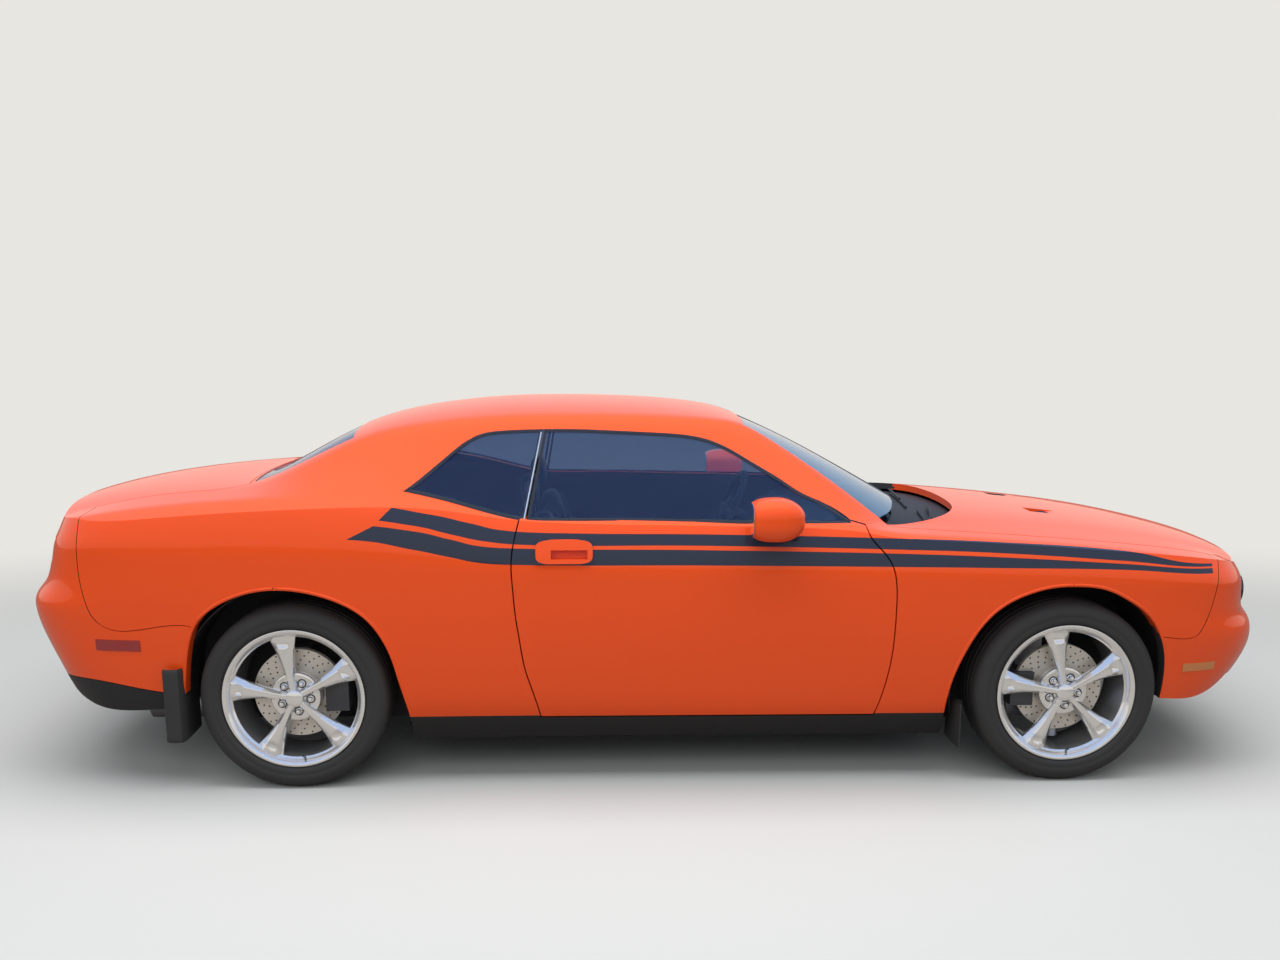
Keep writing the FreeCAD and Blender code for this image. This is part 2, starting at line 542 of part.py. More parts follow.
def outline_face(runs, axis, level):
    """Flat face of a closed chain of runs of points, (x, z) where the axis is Y and (x, y) where it is Z.

    A run of three or more points is one smooth curve, and straight edges join each run to the next.
    """
    def placed(point):
        return Vector(point[0], level, point[1]) if axis == "y" else Vector(point[0], point[1], level)

    edges = []
    for run, following in zip(runs, runs[1:] + runs[:1]):
        points = [placed(point) for point in run]
        if len(points) > 2:
            curve = Part.BSplineCurve()
            curve.interpolate(points)
            edges.append(curve.toShape())
        elif len(points) == 2:
            edges.append(Part.LineSegment(*points).toShape())
        start = placed(following[0])
        if not points[-1].isEqual(start, TOUCH):
            edges.append(Part.LineSegment(points[-1], start).toShape())
    return Part.Face(Part.Wire(edges))


def plain_edge(edge):
    """The same edge as a line, an arc or a smooth curve through points of it."""
    if isinstance(edge.Curve, (Part.Line, Part.Circle, Part.BSplineCurve)):
        return edge
    curve = Part.BSplineCurve()
    curve.interpolate(edge.discretize(CURVE_POINTS))
    return curve.toShape()


def prism(runs, axis, low, high, grow=0):
    """Closed body of an outline, grown sideways and carried along Y or Z between two levels."""
    face = outline_face(runs, axis, low)
    if grow:
        edges = [plain_edge(edge) for edge in face.makeOffset2D(grow).OuterWire.Edges]
        face = Part.Face(Part.Wire(Part.__sortEdges__(edges)))
    return face.extrude(Vector(0, high - low, 0) if axis == "y" else Vector(0, 0, high - low))


def across(runs, grow=0):
    """Prism of a side-view outline through the full width."""
    return prism(runs, "y", -WIDTH, WIDTH, grow)


def upright(runs, grow=0):
    """Prism of a plan outline from the ground to above the roof."""
    return prism(runs, "z", 0, HEIGHT + OVERRUN, grow)


def box(low, high):
    """Box between two corners."""
    return Part.makeBox(high[0] - low[0], high[1] - low[1], high[2] - low[2], Vector(*low))


def rod(start, end, radius):
    """Round bar from one point to another."""
    return Part.makeCylinder(radius, start.distanceToPoint(end), start, end.sub(start))


def mirrored(shape):
    """The same shape on the car's other side."""
    return shape.mirror(Vector(0, 0, 0), Vector(0, 1, 0))


def joined(shapes):
    """One shape of several that meet."""
    return shapes[0].multiFuse(shapes[1:]).removeSplitter()


def both_sides(shape):
    """A shape and its mirror image, as separate solids."""
    return Part.makeCompound([shape, mirrored(shape)])


def in_side_view(shares):
    """Outline points (x, z) in millimetres."""
    return [(x * LENGTH, z * HEIGHT) for x, z in shares]


def in_plan(shares):
    """Outline points (x, y) in millimetres."""
    return [(x * LENGTH, y * HALF_WIDTH) for x, y in shares]


parts = {}


def keep(name, shape, least=SLIVER):
    """Note a finished piece under its node's name, without bits smaller than the least volume."""
    solids = [solid for solid in shape.Solids if solid.Volume > least]
    parts[name] = solids[0] if len(solids) == 1 else Part.makeCompound(solids)


def symmetric(front, side, rear):
    """Closed plan outline from its left half.

    The front and rear runs start on the middle line and the side run leads from front to rear.
    """
    def whole(run):
        return [(x, -y) for x, y in run[:0:-1]] + run

    return [whole(front), side, whole(rear)[::-1], [(x, -y) for x, y in side[::-1]]]


# Outlines in millimetres
front_axle = LENGTH / 2 - FRONT_OVERHANG
rear_axle = front_axle - WHEELBASE
hub_y = TRACK / 2
door_front = in_side_view(door_front_edge_shares)
door_rear = in_side_view(door_rear_edge_shares)
window_top = in_side_view(window_top_shares)
window_bottom = in_side_view(window_bottom_shares)
door_top = [(x, z + DOOR_TOP_RISE) for x, z in window_bottom if door_rear[-1][0] < x < door_front[-1][0]]
door_runs = [door_front, door_top, door_rear[::-1]]
window_runs = [window_top, window_bottom]
front_split = in_side_view(front_bumper_split_shares)
rear_split = in_side_view(rear_bumper_split_shares)
nose_runs = [front_split, [(front_split[-1][0], HEIGHT), (LENGTH, HEIGHT)],
             [(LENGTH, -HEIGHT), (front_split[0][0], -HEIGHT)]]
tail_runs = [rear_split, [(rear_split[-1][0], -HEIGHT), (-LENGTH, -HEIGHT)],
             [(-LENGTH, HEIGHT), (rear_split[0][0], HEIGHT)]]
valance_line = in_side_view(valance_shares)
valance_runs = [valance_line, [(valance_line[-1][0], -HEIGHT), (valance_line[0][0], -HEIGHT)]]
roof_runs = [[point] for point in in_side_view(roof_seam_shares)]
divide = in_side_view(window_divide_shares)
door_pane_runs = [divide, [(LENGTH, divide[-1][1]), (LENGTH, divide[0][1])]]
hood_runs = symmetric(in_plan(hood_front_shares), in_plan(hood_side_shares), in_plan(hood_rear_shares))
windshield_runs = symmetric(in_plan(windshield_base_shares), in_plan(windshield_side_shares),
                            in_plan(windshield_head_shares))
rear_window_runs = symmetric(in_plan(rear_window_head_shares), in_plan(rear_window_side_shares),
                             in_plan(rear_window_base_shares))
boot_side = in_plan(boot_side_shares)
boot_runs = symmetric(in_plan(boot_front_shares), boot_side, [(-LENGTH, 0), (-LENGTH, boot_side[-1][1])])
cowl_side = [in_plan(hood_rear_shares)[-1], in_plan(windshield_base_shares)[-1]]
cowl_runs = symmetric(in_plan(hood_rear_shares), cowl_side, in_plan(windshield_base_shares))
floor_line = in_side_view(floor_line_shares)
tail_edge = in_side_view(tail_edge_shares)
nose_edge = in_side_view(nose_edge_shares)
below_ends = [[tail_edge, [(-LENGTH, tail_edge[-1][1]), (-LENGTH, -HEIGHT), (tail_edge[0][0], -HEIGHT)]],
              [nose_edge, [(LENGTH, nose_edge[-1][1]), (LENGTH, -HEIGHT), (nose_edge[0][0], -HEIGHT)]]]
handle_runs, handle_opening = [[[point] for point in in_side_view(shares)] for shares in handle_shares]

# Body volumes and openings
outer = body_volume(0, 0)
inner = body_volume(SIDE_WALL, TOP_WALL)
arches = []
for shares in (front_arch_shares, rear_arch_shares):
    arch = in_side_view(shares)
    arches.append(across([arch, [(arch[-1][0], -HEIGHT), (arch[0][0], -HEIGHT)]]))
mouth = box((LENGTH / 4, -GRILLE_HALF_WIDTH, GRILLE_LOW), (LENGTH, GRILLE_HALF_WIDTH, GRILLE_HIGH))
intake = box((LENGTH / 4, -INTAKE_HALF_WIDTH, INTAKE_LOW), (LENGTH, INTAKE_HALF_WIDTH, INTAKE_HIGH))
ends = [across(runs) for runs in below_ends]
lamp_band = box((-LENGTH, -TAIL_HALF_WIDTH, TAIL_LOW), (-LENGTH / 4, TAIL_HALF_WIDTH, TAIL_HIGH))


def build_panels():
    """Body panels, cut from one hollow body at their real shut lines."""
    rest = outer.cut([inner] + arches + ends + [across(window_runs), upright(windshield_runs),
                                         upright(rear_window_runs), upright(cowl_runs), mouth, intake, lamp_band])
    rest = rest.cut(across(door_runs, SHUT_GAP))
    scoop_runs = [[point] for point in in_side_view(scoop_shares)]
    scoops = [prism(scoop_runs, "y", side * SCOOP_PLACE - SCOOP_HALF, side * SCOOP_PLACE + SCOOP_HALF)
              for side in (1, -1)]
    keep("hood", rest.common(upright(hood_runs)).cut([under_skin_solid(TOP_WALL)] + scoops))
    room = upright(hood_runs, SHUT_GAP)
    ahead = room.copy()
    ahead.translate(Vector(HOOD_FRONT_ROOM, 0, 0))
    rest = rest.cut(room.fuse(ahead).cut(under_skin_solid(TOP_WALL + SHUT_GAP)))
    above = box((-LENGTH, -WIDTH, LID_LOW), (0, WIDTH, HEIGHT + OVERRUN))
    room = box((-LENGTH, -WIDTH, LID_LOW - SHUT_GAP), (0, WIDTH, HEIGHT + OVERRUN))
    keep("boot_lid", rest.common(upright(boot_runs)).common(above))
    rest = rest.cut(upright(boot_runs, SHUT_GAP).common(room))
    keep("front_bumper", rest.common(across(nose_runs)))
    rest = rest.cut(across(nose_runs, PANEL_GAP))
    tail = rest.common(across(tail_runs))
    rest = rest.cut(across(tail_runs, PANEL_GAP))
    recess = box((-LENGTH, -PLATE_HALF, PLATE_LOW), (PLATE_FACE, PLATE_HALF, PLATE_HIGH))
    middle = (PLATE_LOW + PLATE_HIGH) / 2
    holes = [rod(Vector(-LENGTH, y * PLATE_BOLTS[0] / 2, middle + z * PLATE_BOLTS[1] / 2),
                 Vector(0, y * PLATE_BOLTS[0] / 2, middle + z * PLATE_BOLTS[1] / 2), PLATE_HOLE_RADIUS)
             for y in (1, -1) for z in (1, -1)]
    tail_skin = tail.cut([across(valance_runs, PANEL_GAP), recess] + holes)
    keep("rear_bumper", tail_skin)
    keep("rear_valance", tail.common(across(valance_runs)))
    low = box((-LENGTH, -WIDTH, -HEIGHT), (LENGTH, WIDTH, SILL_TOP - SHUT_GAP))
    keep("sills", rest.common(low))
    rest = rest.cut(low)
    keep("roof", rest.common(across(roof_runs)))
    rest = rest.cut(across(roof_runs))
    for side, sign in (("left", 1), ("right", -1)):
        for name, end in (("front_fender", 1), ("quarter_panel", -1)):
            corner = Vector(min(end * LENGTH, 0), min(sign * WIDTH, 0), -HEIGHT)
            keep(f"{side}_{name}", rest.common(Part.makeBox(LENGTH, WIDTH, HEIGHT + LENGTH, corner)))


def build_doors_and_glass():
    """Doors, each as thick as the whole real one, and the car's glass."""
    left = box((-LENGTH, 0, 0), (LENGTH, WIDTH, LENGTH))
    layer = body_volume(GLASS_SET_BACK, GLASS_SET_BACK).cut(
        body_volume(GLASS_SET_BACK + GLASS_THICKNESS, GLASS_SET_BACK + GLASS_THICKNESS))
    pane = across(window_runs, -SHUT_GAP)
    ahead = across(door_pane_runs)
    door = outer.common(across(door_runs)).cut(box((-LENGTH, -LENGTH, -HEIGHT), (LENGTH, DOOR_INNER, LENGTH)))
    door = door.cut(pane.common(ahead))
    handle = across(handle_runs).common(left).common(body_volume(-HANDLE_STAND, 0)).cut(inner)
    grip = across(handle_opening).common(left).cut(body_volume(HANDLE_ROOM, 0))
    door = joined([door, handle]).cut(grip)
    side_glass = layer.common(pane).common(left)
    keep("left_door", door)
    keep("right_door", mirrored(door))
    keep("left_door_glass", side_glass.common(ahead))
    keep("right_door_glass", mirrored(side_glass.common(ahead)))
    rear_glass = layer.common(across(window_runs, -SEAT_GAP)).common(left)
    keep("quarter_windows", both_sides(rear_glass.cut([across(door_pane_runs, SHUT_GAP),
                                                       across(door_runs, SHUT_GAP)])))
    keep("windshield", layer.common(upright(windshield_runs, -SEAT_GAP)))
    keep("rear_window", layer.common(upright(rear_window_runs, -SEAT_GAP)))


def build_front_and_rear():
    """Cowl, grille and lamps."""
    cowl = under_skin_solid(COWL_DEPTH).cut(under_skin_solid(COWL_DEPTH + COWL_SHEET))
    keep("cowl", cowl.common(upright(cowl_runs, SHUT_GAP)).common(belt_solid(SIDE_WALL)))
    backing = body_volume(LAMP_DEPTH, LAMP_DEPTH)
    lens = body_volume(LAMP_SET_BACK, LAMP_SET_BACK)
    barrels = [rod(Vector(LENGTH / 4, sign * y, LAMP_HEIGHT), Vector(LENGTH, sign * y, LAMP_HEIGHT), LAMP_RADIUS)
               for y in LAMP_PLACES for sign in (1, -1)]
    room = [rod(Vector(LENGTH / 4, sign * y, LAMP_HEIGHT), Vector(LENGTH, sign * y, LAMP_HEIGHT),
                LAMP_RADIUS + SHUT_GAP) for y in LAMP_PLACES for sign in (1, -1)]
    bars = [box((LENGTH / 4, -WIDTH, level - BAR_HALF), (LENGTH, WIDTH, level + BAR_HALF))
            for level in GRILLE_BARS + INTAKE_BARS]
    bars = lens.cut(inner).common(Part.makeCompound(bars)).common(mouth.fuse(intake)).cut(room)
    keep("grille", joined([backing.cut(inner).common(mouth.fuse(intake)), bars]))
    keep("headlamps", Part.makeCompound([lens.cut(backing).common(barrel) for barrel in barrels]))
    band = lens.cut(inner)
    lamps = [box((-LENGTH, side * (TAIL_HALF_WIDTH + TAIL_SPLIT) / 2 - (TAIL_HALF_WIDTH - TAIL_SPLIT) / 2, TAIL_LOW),
                 (-LENGTH / 4, side * (TAIL_HALF_WIDTH + TAIL_SPLIT) / 2 + (TAIL_HALF_WIDTH - TAIL_SPLIT) / 2,
                  TAIL_HIGH)) for side in (1, -1)]
    keep("tail_lamps", Part.makeCompound([band.common(lamp) for lamp in lamps]))
    keep("tail_panel", band.common(lamp_band).cut(lamps))


def build_markers():
    """Marker lenses that stand just proud of the bumpers' sides."""
    layer = body_volume(-MARKER_STAND, 0).cut(body_volume(-SEAT_GAP, 0))
    lenses = []
    for rear, front, low, high in (front_marker_shares, rear_marker_shares):
        room = box((rear * LENGTH, HALF_WIDTH / 2, low * HEIGHT), (front * LENGTH, WIDTH, high * HEIGHT))
        lens = layer.common(room)
        lenses += [lens, mirrored(lens)]
    keep("side_markers", Part.makeCompound(lenses), MARKER_SLIVER)


def revolved(centre, profile, side):
    """Ring from a closed profile of (radius, offset outwards) points about a wheel's axis."""
    points = [centre.add(Vector(0, side * offset, radius)) for radius, offset in profile]
    return Part.Face(Part.makePolygon(points + points[:1])).revolve(centre, Vector(0, 1, 0), TURN)


def build_wheel(corner, x, side):
    """Tyre, and the wheel with its hub and brake disc, at one corner of the car."""
    centre = Vector(x, side * hub_y, TYRE_RADIUS)

    def beside(offset):
        return centre.add(Vector(0, side * offset, 0))

    half, rim_half = TYRE_WIDTH / 2, RIM_WIDTH / 2
    bead, bead_half = BEAD_RADIUS + SEAT_GAP, rim_half - RIM_SHEET - SEAT_GAP
    bulge, lip = (TYRE_RADIUS + BEAD_RADIUS) / 2, RIM_RADIUS + SEAT_GAP * 2
    tread, shoulder = TYRE_RADIUS, TYRE_SHOULDER
    keep(f"{corner}_tyre", revolved(centre, [
        (bead, -bead_half), (lip, -bead_half), (bulge, -half), (tread - shoulder, -half + shoulder / 4),
        (tread, -half + shoulder), (tread, half - shoulder), (tread - shoulder, half - shoulder / 4),
        (bulge, half), (lip, bead_half), (bead, bead_half)], side))
    well = BEAD_RADIUS - RIM_SHEET
    barrel = revolved(centre, [
        (RIM_RADIUS, -rim_half), (RIM_RADIUS, -rim_half + RIM_SHEET), (BEAD_RADIUS, -rim_half + RIM_SHEET),
        (BEAD_RADIUS, rim_half - RIM_SHEET), (RIM_RADIUS, rim_half - RIM_SHEET), (RIM_RADIUS, rim_half),
        (well, rim_half), (well, -rim_half)], side)
    face = rim_half - SPOKE_SET_BACK
    pieces = [barrel, rod(beside(face - HUB_DEPTH), beside(face), HUB_RADIUS),
              rod(beside(DISC_OFFSET), beside(DISC_OFFSET + DISC_THICKNESS), DISC_RADIUS),
              rod(beside(DISC_OFFSET), beside(face), HUB_RADIUS * hat_share)]
    for index in range(SPOKES):
        foot = [(-SPOKE_ROOT_WIDTH / 2, 0), (SPOKE_ROOT_WIDTH / 2, 0), (SPOKE_TIP_WIDTH / 2, well + RIM_SHEET / 4),
                (-SPOKE_TIP_WIDTH / 2, well + RIM_SHEET / 4)]
        points = [beside(face - SPOKE_DEPTH).add(Vector(a, 0, b)) for a, b in foot]
        spoke = Part.Face(Part.makePolygon(points + points[:1])).extrude(Vector(0, side * SPOKE_DEPTH, 0))
        spoke.rotate(centre, Vector(0, 1, 0), SPOKE_TURN + TURN * index / SPOKES)
        lug = rod(beside(face - HUB_DEPTH / 2).add(Vector(0, 0, LUG_CIRCLE)),
                  beside(face + LUG_HEIGHT).add(Vector(0, 0, LUG_CIRCLE)), LUG_RADIUS)
        lug.rotate(centre, Vector(0, 1, 0), SPOKE_TURN + TURN * (index + half_share) / SPOKES)
        pieces += [spoke, lug]
    pieces.append(rod(beside(face - HUB_DEPTH / 2), beside(face + CAP_HEIGHT), CAP_RADIUS))
    bore = rod(beside(DISC_OFFSET - SPINDLE_REACH), beside(DISC_OFFSET + SPINDLE_REACH),
               SPINDLE_RADIUS + RUNNING_CLEARANCE)
    keep(f"{corner}_wheel", joined(pieces).cut(bore))


def box_between(first, second):
    """Box between two corners given in any order."""
    low = Vector(min(first.x, second.x), min(first.y, second.y), min(first.z, second.z))
    return Part.makeBox(abs(first.x - second.x), abs(first.y - second.y), abs(first.z - second.z), low)


def knuckle(x, side, pinned):
    """Upright that carries a wheel, with its spindle, its ball pins and its brake caliper."""
    centre = Vector(x, side * hub_y, TYRE_RADIUS)

    def at(along_x, offset, rise):
        return centre.add(Vector(along_x, side * offset, rise))

    back = DISC_OFFSET - SHUT_GAP
    far = back - KNUCKLE_DEPTH
    pieces = [box_between(at(-KNUCKLE_WIDTH / 2, far, -KNUCKLE_HALF), at(KNUCKLE_WIDTH / 2, back, KNUCKLE_HALF)),
              rod(at(0, back, 0), at(0, DISC_OFFSET + SPINDLE_REACH - SHUT_GAP, 0), SPINDLE_RADIUS)]
    if pinned:
        pieces.append(rod(at(0, -KINGPIN_OFFSET, -ARM_DROP), at(0, -KINGPIN_OFFSET, ARM_DROP), PIN_RADIUS))
    reach = -1 if x > 0 else 1
    low, high = DISC_RADIUS - CALIPER_WIDTH, DISC_RADIUS + CALIPER_WIDTH / 3
    caliper = box_between(at(reach * low, far, -CALIPER_WIDTH),
                          at(reach * high, DISC_OFFSET + DISC_THICKNESS + KNUCKLE_DEPTH / 2, CALIPER_WIDTH))
    slot = rod(at(0, DISC_OFFSET - SHUT_GAP, 0), at(0, DISC_OFFSET + DISC_THICKNESS + SHUT_GAP, 0),
               DISC_RADIUS + SHUT_GAP)
    bracket = box_between(at(0, far, -ARM_THICKNESS), at(reach * (low + ARM_THICKNESS), back, ARM_THICKNESS))
    return joined(pieces + [caliper.cut(slot), bracket])


def pinned_arm(x, side, rise):
    """Arm from the front tower out to one of an upright's ball pins."""
    pin_y = side * (hub_y - KINGPIN_OFFSET)
    low, high = TYRE_RADIUS + rise - ARM_THICKNESS / 2, TYRE_RADIUS + rise + ARM_THICKNESS / 2
    arm = box_between(Vector(x - ARM_WIDTH / 2, side * CROSSMEMBER_HALF, low), Vector(x + ARM_WIDTH / 2, pin_y, high))
    eye = rod(Vector(x, pin_y, low), Vector(x, pin_y, high), ARM_WIDTH / 2)
    hole = rod(Vector(x, pin_y, low - ARM_DROP / 2), Vector(x, pin_y, high + ARM_DROP / 2),
               PIN_RADIUS + RUNNING_CLEARANCE)
    return arm.fuse(eye).cut(hole)


def plain_arm(x, side, rise):
    """Arm from the rear tower out to the inner face of an upright."""
    end_y = side * (hub_y + DISC_OFFSET - SHUT_GAP - KNUCKLE_DEPTH - SEAT_GAP)
    return box_between(Vector(x - ARM_WIDTH / 2, side * CROSSMEMBER_HALF, TYRE_RADIUS + rise - ARM_THICKNESS / 2),
                       Vector(x + ARM_WIDTH / 2, end_y, TYRE_RADIUS + rise + ARM_THICKNESS / 2))


def subframe(x, drop, half_width, top, arm):
    """Crossmember with a tower and two arms on each side."""
    low = TYRE_RADIUS - drop - ARM_THICKNESS
    pieces = [box_between(Vector(x - ARM_WIDTH, -half_width, low),
                          Vector(x + ARM_WIDTH, half_width, TYRE_RADIUS - drop + ARM_THICKNESS))]
    for side in (1, -1):
        pieces += [arm(x, side, rise) for rise in (-drop, drop)]
        pieces.append(box_between(Vector(x - TOWER_HALF, side * (CROSSMEMBER_HALF - TOWER), low),
                                  Vector(x + TOWER_HALF, side * half_width, top)))
    return pieces


def build_running_gear():
    """Uprights, arms, crossmembers and the final drive."""
    front_half = FRONT_WELL_INNER - SEAT_GAP
    crossmember_top = TYRE_RADIUS - ARM_DROP + ARM_THICKNESS
    front = subframe(front_axle, ARM_DROP, front_half, TYRE_RADIUS + ARM_DROP + ARM_THICKNESS / 2, pinned_arm)
    for side in (1, -1):
        front.append(box_between(
            Vector(front_axle - ARM_WIDTH, side * (ENGINE_POST - ARM_WIDTH), crossmember_top),
            Vector(front_axle + ARM_WIDTH, side * ENGINE_POST, engine_shares[3] * HEIGHT - SEAT_GAP)))
    keep("front_suspension", joined(front))
    rear = subframe(rear_axle, REAR_ARM_RISE, CROSSMEMBER_HALF, KICK_UP_LOW - SEAT_GAP, plain_arm)
    shaft_end = hub_y + DISC_OFFSET - SHUT_GAP - KNUCKLE_DEPTH - SEAT_GAP
    rear.append(rod(Vector(rear_axle, -shaft_end, TYRE_RADIUS), Vector(rear_axle, shaft_end, TYRE_RADIUS),
                    SHAFT_RADIUS))
    rear.append(box_between(Vector(rear_axle - DRIVE_HALF, -DRIVE_HALF, TYRE_RADIUS - DRIVE_HALF),
                            Vector(rear_axle + DRIVE_HALF, DRIVE_HALF, TYRE_RADIUS + ARM_WIDTH)))
    keep("rear_suspension", joined(rear))
    for side_name, side in (("left", 1), ("right", -1)):
        keep(f"front_{side_name}_knuckle", knuckle(front_axle, side, True))
    keep("rear_knuckles", Part.makeCompound([knuckle(rear_axle, side, False) for side in (1, -1)]))


def wheel_well(x, inner_y, radius):
    """Round space that a wheel turns in, on both sides of the car."""
    return [rod(Vector(x, side * inner_y, TYRE_RADIUS), Vector(x, side * WIDTH, TYRE_RADIUS), radius)
            for side in (1, -1)]


def build_underbody():
    """Floor pan, bulkheads, wheel-well liners and mud flaps."""
    wells = wheel_well(front_axle, FRONT_WELL_INNER, WELL_RADIUS) + wheel_well(rear_axle, REAR_WELL_INNER, WELL_RADIUS)
    dug = wheel_well(front_axle, FRONT_WELL_INNER + WELL_SHEET, WELL_RADIUS - WELL_SHEET)
    dug += wheel_well(rear_axle, REAR_WELL_INNER + WELL_SHEET, WELL_RADIUS - WELL_SHEET)
    around = body_volume(SIDE_WALL + SEAT_GAP, TOP_WALL + SEAT_GAP)
    front_end = floor_line[0][0]
    floor = prism([[point] for point in floor_line], "y", -WIDTH, WIDTH)
    floor = around.common(floor).cut(wheel_well(front_axle, FRONT_WELL_INNER - SEAT_GAP, WELL_RADIUS + SEAT_GAP)
                                     + wheel_well(rear_axle, REAR_WELL_INNER - SEAT_GAP, WELL_RADIUS + SEAT_GAP))
    keep("floor_pan", joined([floor, tunnel(0)]).cut(tunnel(-TUNNEL_SHEET)))
    top = FLOOR_LOW + FLOOR_SHEET
    firewall = box((front_end - BULKHEAD, -WIDTH, top + SEAT_GAP), (front_end, WIDTH, HEIGHT * firewall_share))
    shelf_ends = [share * LENGTH for share in shelf_place_shares]
    shelf_top = HEIGHT * shelf_height_share
    shelf = box((shelf_ends[0], -WIDTH, shelf_top - BULKHEAD), (shelf_ends[1], WIDTH, shelf_top))
    firewall = around.common(firewall).common(under_skin_solid(COWL_DEPTH + COWL_SHEET + SEAT_GAP))
    keep("bulkheads", Part.makeCompound([firewall.cut(wells + [tunnel(SEAT_GAP)]), around.common(shelf)]))
    sheets = [well.common(around).cut(dug) for well in wells]
    opened = [box((-LENGTH, -WIDTH, -HEIGHT), (LENGTH, WIDTH, top))]
    opened += [box((x - ARM_WIDTH - SHUT_GAP, -WIDTH, 0), (x + ARM_WIDTH + SHUT_GAP, WIDTH,
                                                          TYRE_RADIUS + rise + ARM_THICKNESS))
               for x, rise in ((front_axle, ARM_DROP), (rear_axle, REAR_ARM_RISE))]
    keep("wheel_well_liners", Part.makeCompound([sheet.cut(opened + ends) for sheet in sheets]))
    flaps = []
    for share, low, high in flap_shares:
        middle = share * LENGTH
        flaps += [box_between(Vector(middle - WELL_SHEET, side * FLAP_INNER, low * HEIGHT),
                              Vector(middle + WELL_SHEET, side * FLAP_OUTER, high * HEIGHT)) for side in (1, -1)]
    keep("mud_flaps", Part.makeCompound([flap.common(around) for flap in flaps]))


def tunnel(grow):
    """Block along the floor's middle that the drive shaft runs in."""
    half, top = TUNNEL_HALF + grow, TUNNEL_TOP + grow
    rear = rear_axle + DRIVE_HALF if grow else TUNNEL_REAR
    front = LENGTH if grow < 0 else floor_line[0][0]
    return box((rear, -half, FLOOR_LOW if grow == 0 else 0), (front, half, top))


def build_cabin():
    """Seats, dashboard and steering wheel."""
    cushion, back = in_side_view(seat_cushion_shares), in_side_view(seat_back_shares)
    seats = []
    for side in (1, -1):
        low, high = side * SEAT_PLACE - SEAT_WIDTH / 2, side * SEAT_PLACE + SEAT_WIDTH / 2
        head = prism([in_side_view(headrest_shares)], "y", side * SEAT_PLACE - HEADREST_WIDTH / 2,
                     side * SEAT_PLACE + HEADREST_WIDTH / 2)
        seat = joined([prism([cushion], "y", low, high), prism([back], "y", low, high), head])
        foot = box((cushion[0][0] + SEAT_WIDTH / 4, low + SEAT_WIDTH / 4, FLOOR_LOW + FLOOR_SHEET + SEAT_GAP),
                   (cushion[-1][0] - SEAT_WIDTH / 4, high - SEAT_WIDTH / 4, cushion[2][1]))
        seats.append(joined([seat, foot]))
    keep("front_seats", Part.makeCompound(seats))
    bench = prism([[point] for point in in_side_view(rear_seat_shares)], "y",
                  -REAR_WELL_INNER + SHUT_GAP, REAR_WELL_INNER - SHUT_GAP)
    keep("rear_seat", bench.cut(tunnel(SEAT_GAP)))
    dash = [[point] for point in in_side_view(dashboard_shares)]
    dash = prism(dash, "y", -DOOR_INNER + OVERRUN / 8, DOOR_INNER - OVERRUN / 8)
    keep("dashboard", dash.common(under_skin_solid(COWL_DEPTH + COWL_SHEET + SEAT_GAP)))
    hub = Vector(steering_place_shares[0] * LENGTH, SEAT_PLACE, steering_place_shares[1] * HEIGHT)
    lean = Vector(-math.cos(STEERING_LEAN), 0, math.sin(STEERING_LEAN))
    rim = Part.makeTorus(WHEEL_RIM_RADIUS, WHEEL_RIM_TUBE, hub, lean)
    spokes = [rod(hub, hub.add(Vector(0, side * WHEEL_RIM_RADIUS, 0)), WHEEL_RIM_TUBE) for side in (1, -1)]
    boss = rod(hub.sub(lean * WHEEL_RIM_TUBE), hub.add(lean * WHEEL_RIM_TUBE), WHEEL_RIM_RADIUS / 3)
    keep("steering_wheel", joined([rim, boss] + spokes))
    column = rod(hub.sub(lean * (WHEEL_RIM_TUBE + SEAT_GAP)), hub.sub(lean * COLUMN_REACH), SPINDLE_RADIUS)
    parts["dashboard"] = joined([parts["dashboard"], column])


def build_mechanics():
    """Engine block with its drive shaft, and the exhaust."""
    low = Vector(engine_shares[0] * LENGTH, -engine_shares[2] * HALF_WIDTH, engine_shares[3] * HEIGHT)
    high = Vector(engine_shares[1] * LENGTH, engine_shares[2] * HALF_WIDTH, engine_shares[4] * HEIGHT)
    block = box_between(low, high)
    shaft = rod(Vector(rear_axle + DRIVE_HALF + SEAT_GAP, 0, TYRE_RADIUS),
                Vector(low.x + BULKHEAD, 0, TYRE_RADIUS), SHAFT_RADIUS)
    keep("engine", joined([block, shaft]))
    pipe = joined([bent_pipe(exhaust_pipe_shares, PIPE_RADIUS),
                   rod(in_body(muffler_shares[0], *muffler_shares[2:]), in_body(*muffler_shares[1:]), MUFFLER_RADIUS),
                   bent_pipe(tail_pipe_shares, TIP_RADIUS)])
    end, mouth_end = in_body(*tail_pipe_shares[0]), in_body(*tail_pipe_shares[1])
    bore = rod((end + mouth_end) / 2, mouth_end * 2 - end, TIP_RADIUS - PIPE_SHEET)
    keep("exhaust", both_sides(pipe.cut(bore)))


def in_body(x, y, z):
    """Point in millimetres from its shares of the length, the half width and the height."""
    return Vector(x * LENGTH, y * HALF_WIDTH, z * HEIGHT)


def bent_pipe(shares, radius):
    """Bar through several points with round elbows."""
    points = [in_body(*share) for share in shares]
    pieces = [rod(start, end, radius) for start, end in zip(points, points[1:])]
    return joined(pieces + [Part.makeSphere(radius, point) for point in points[1:-1]])


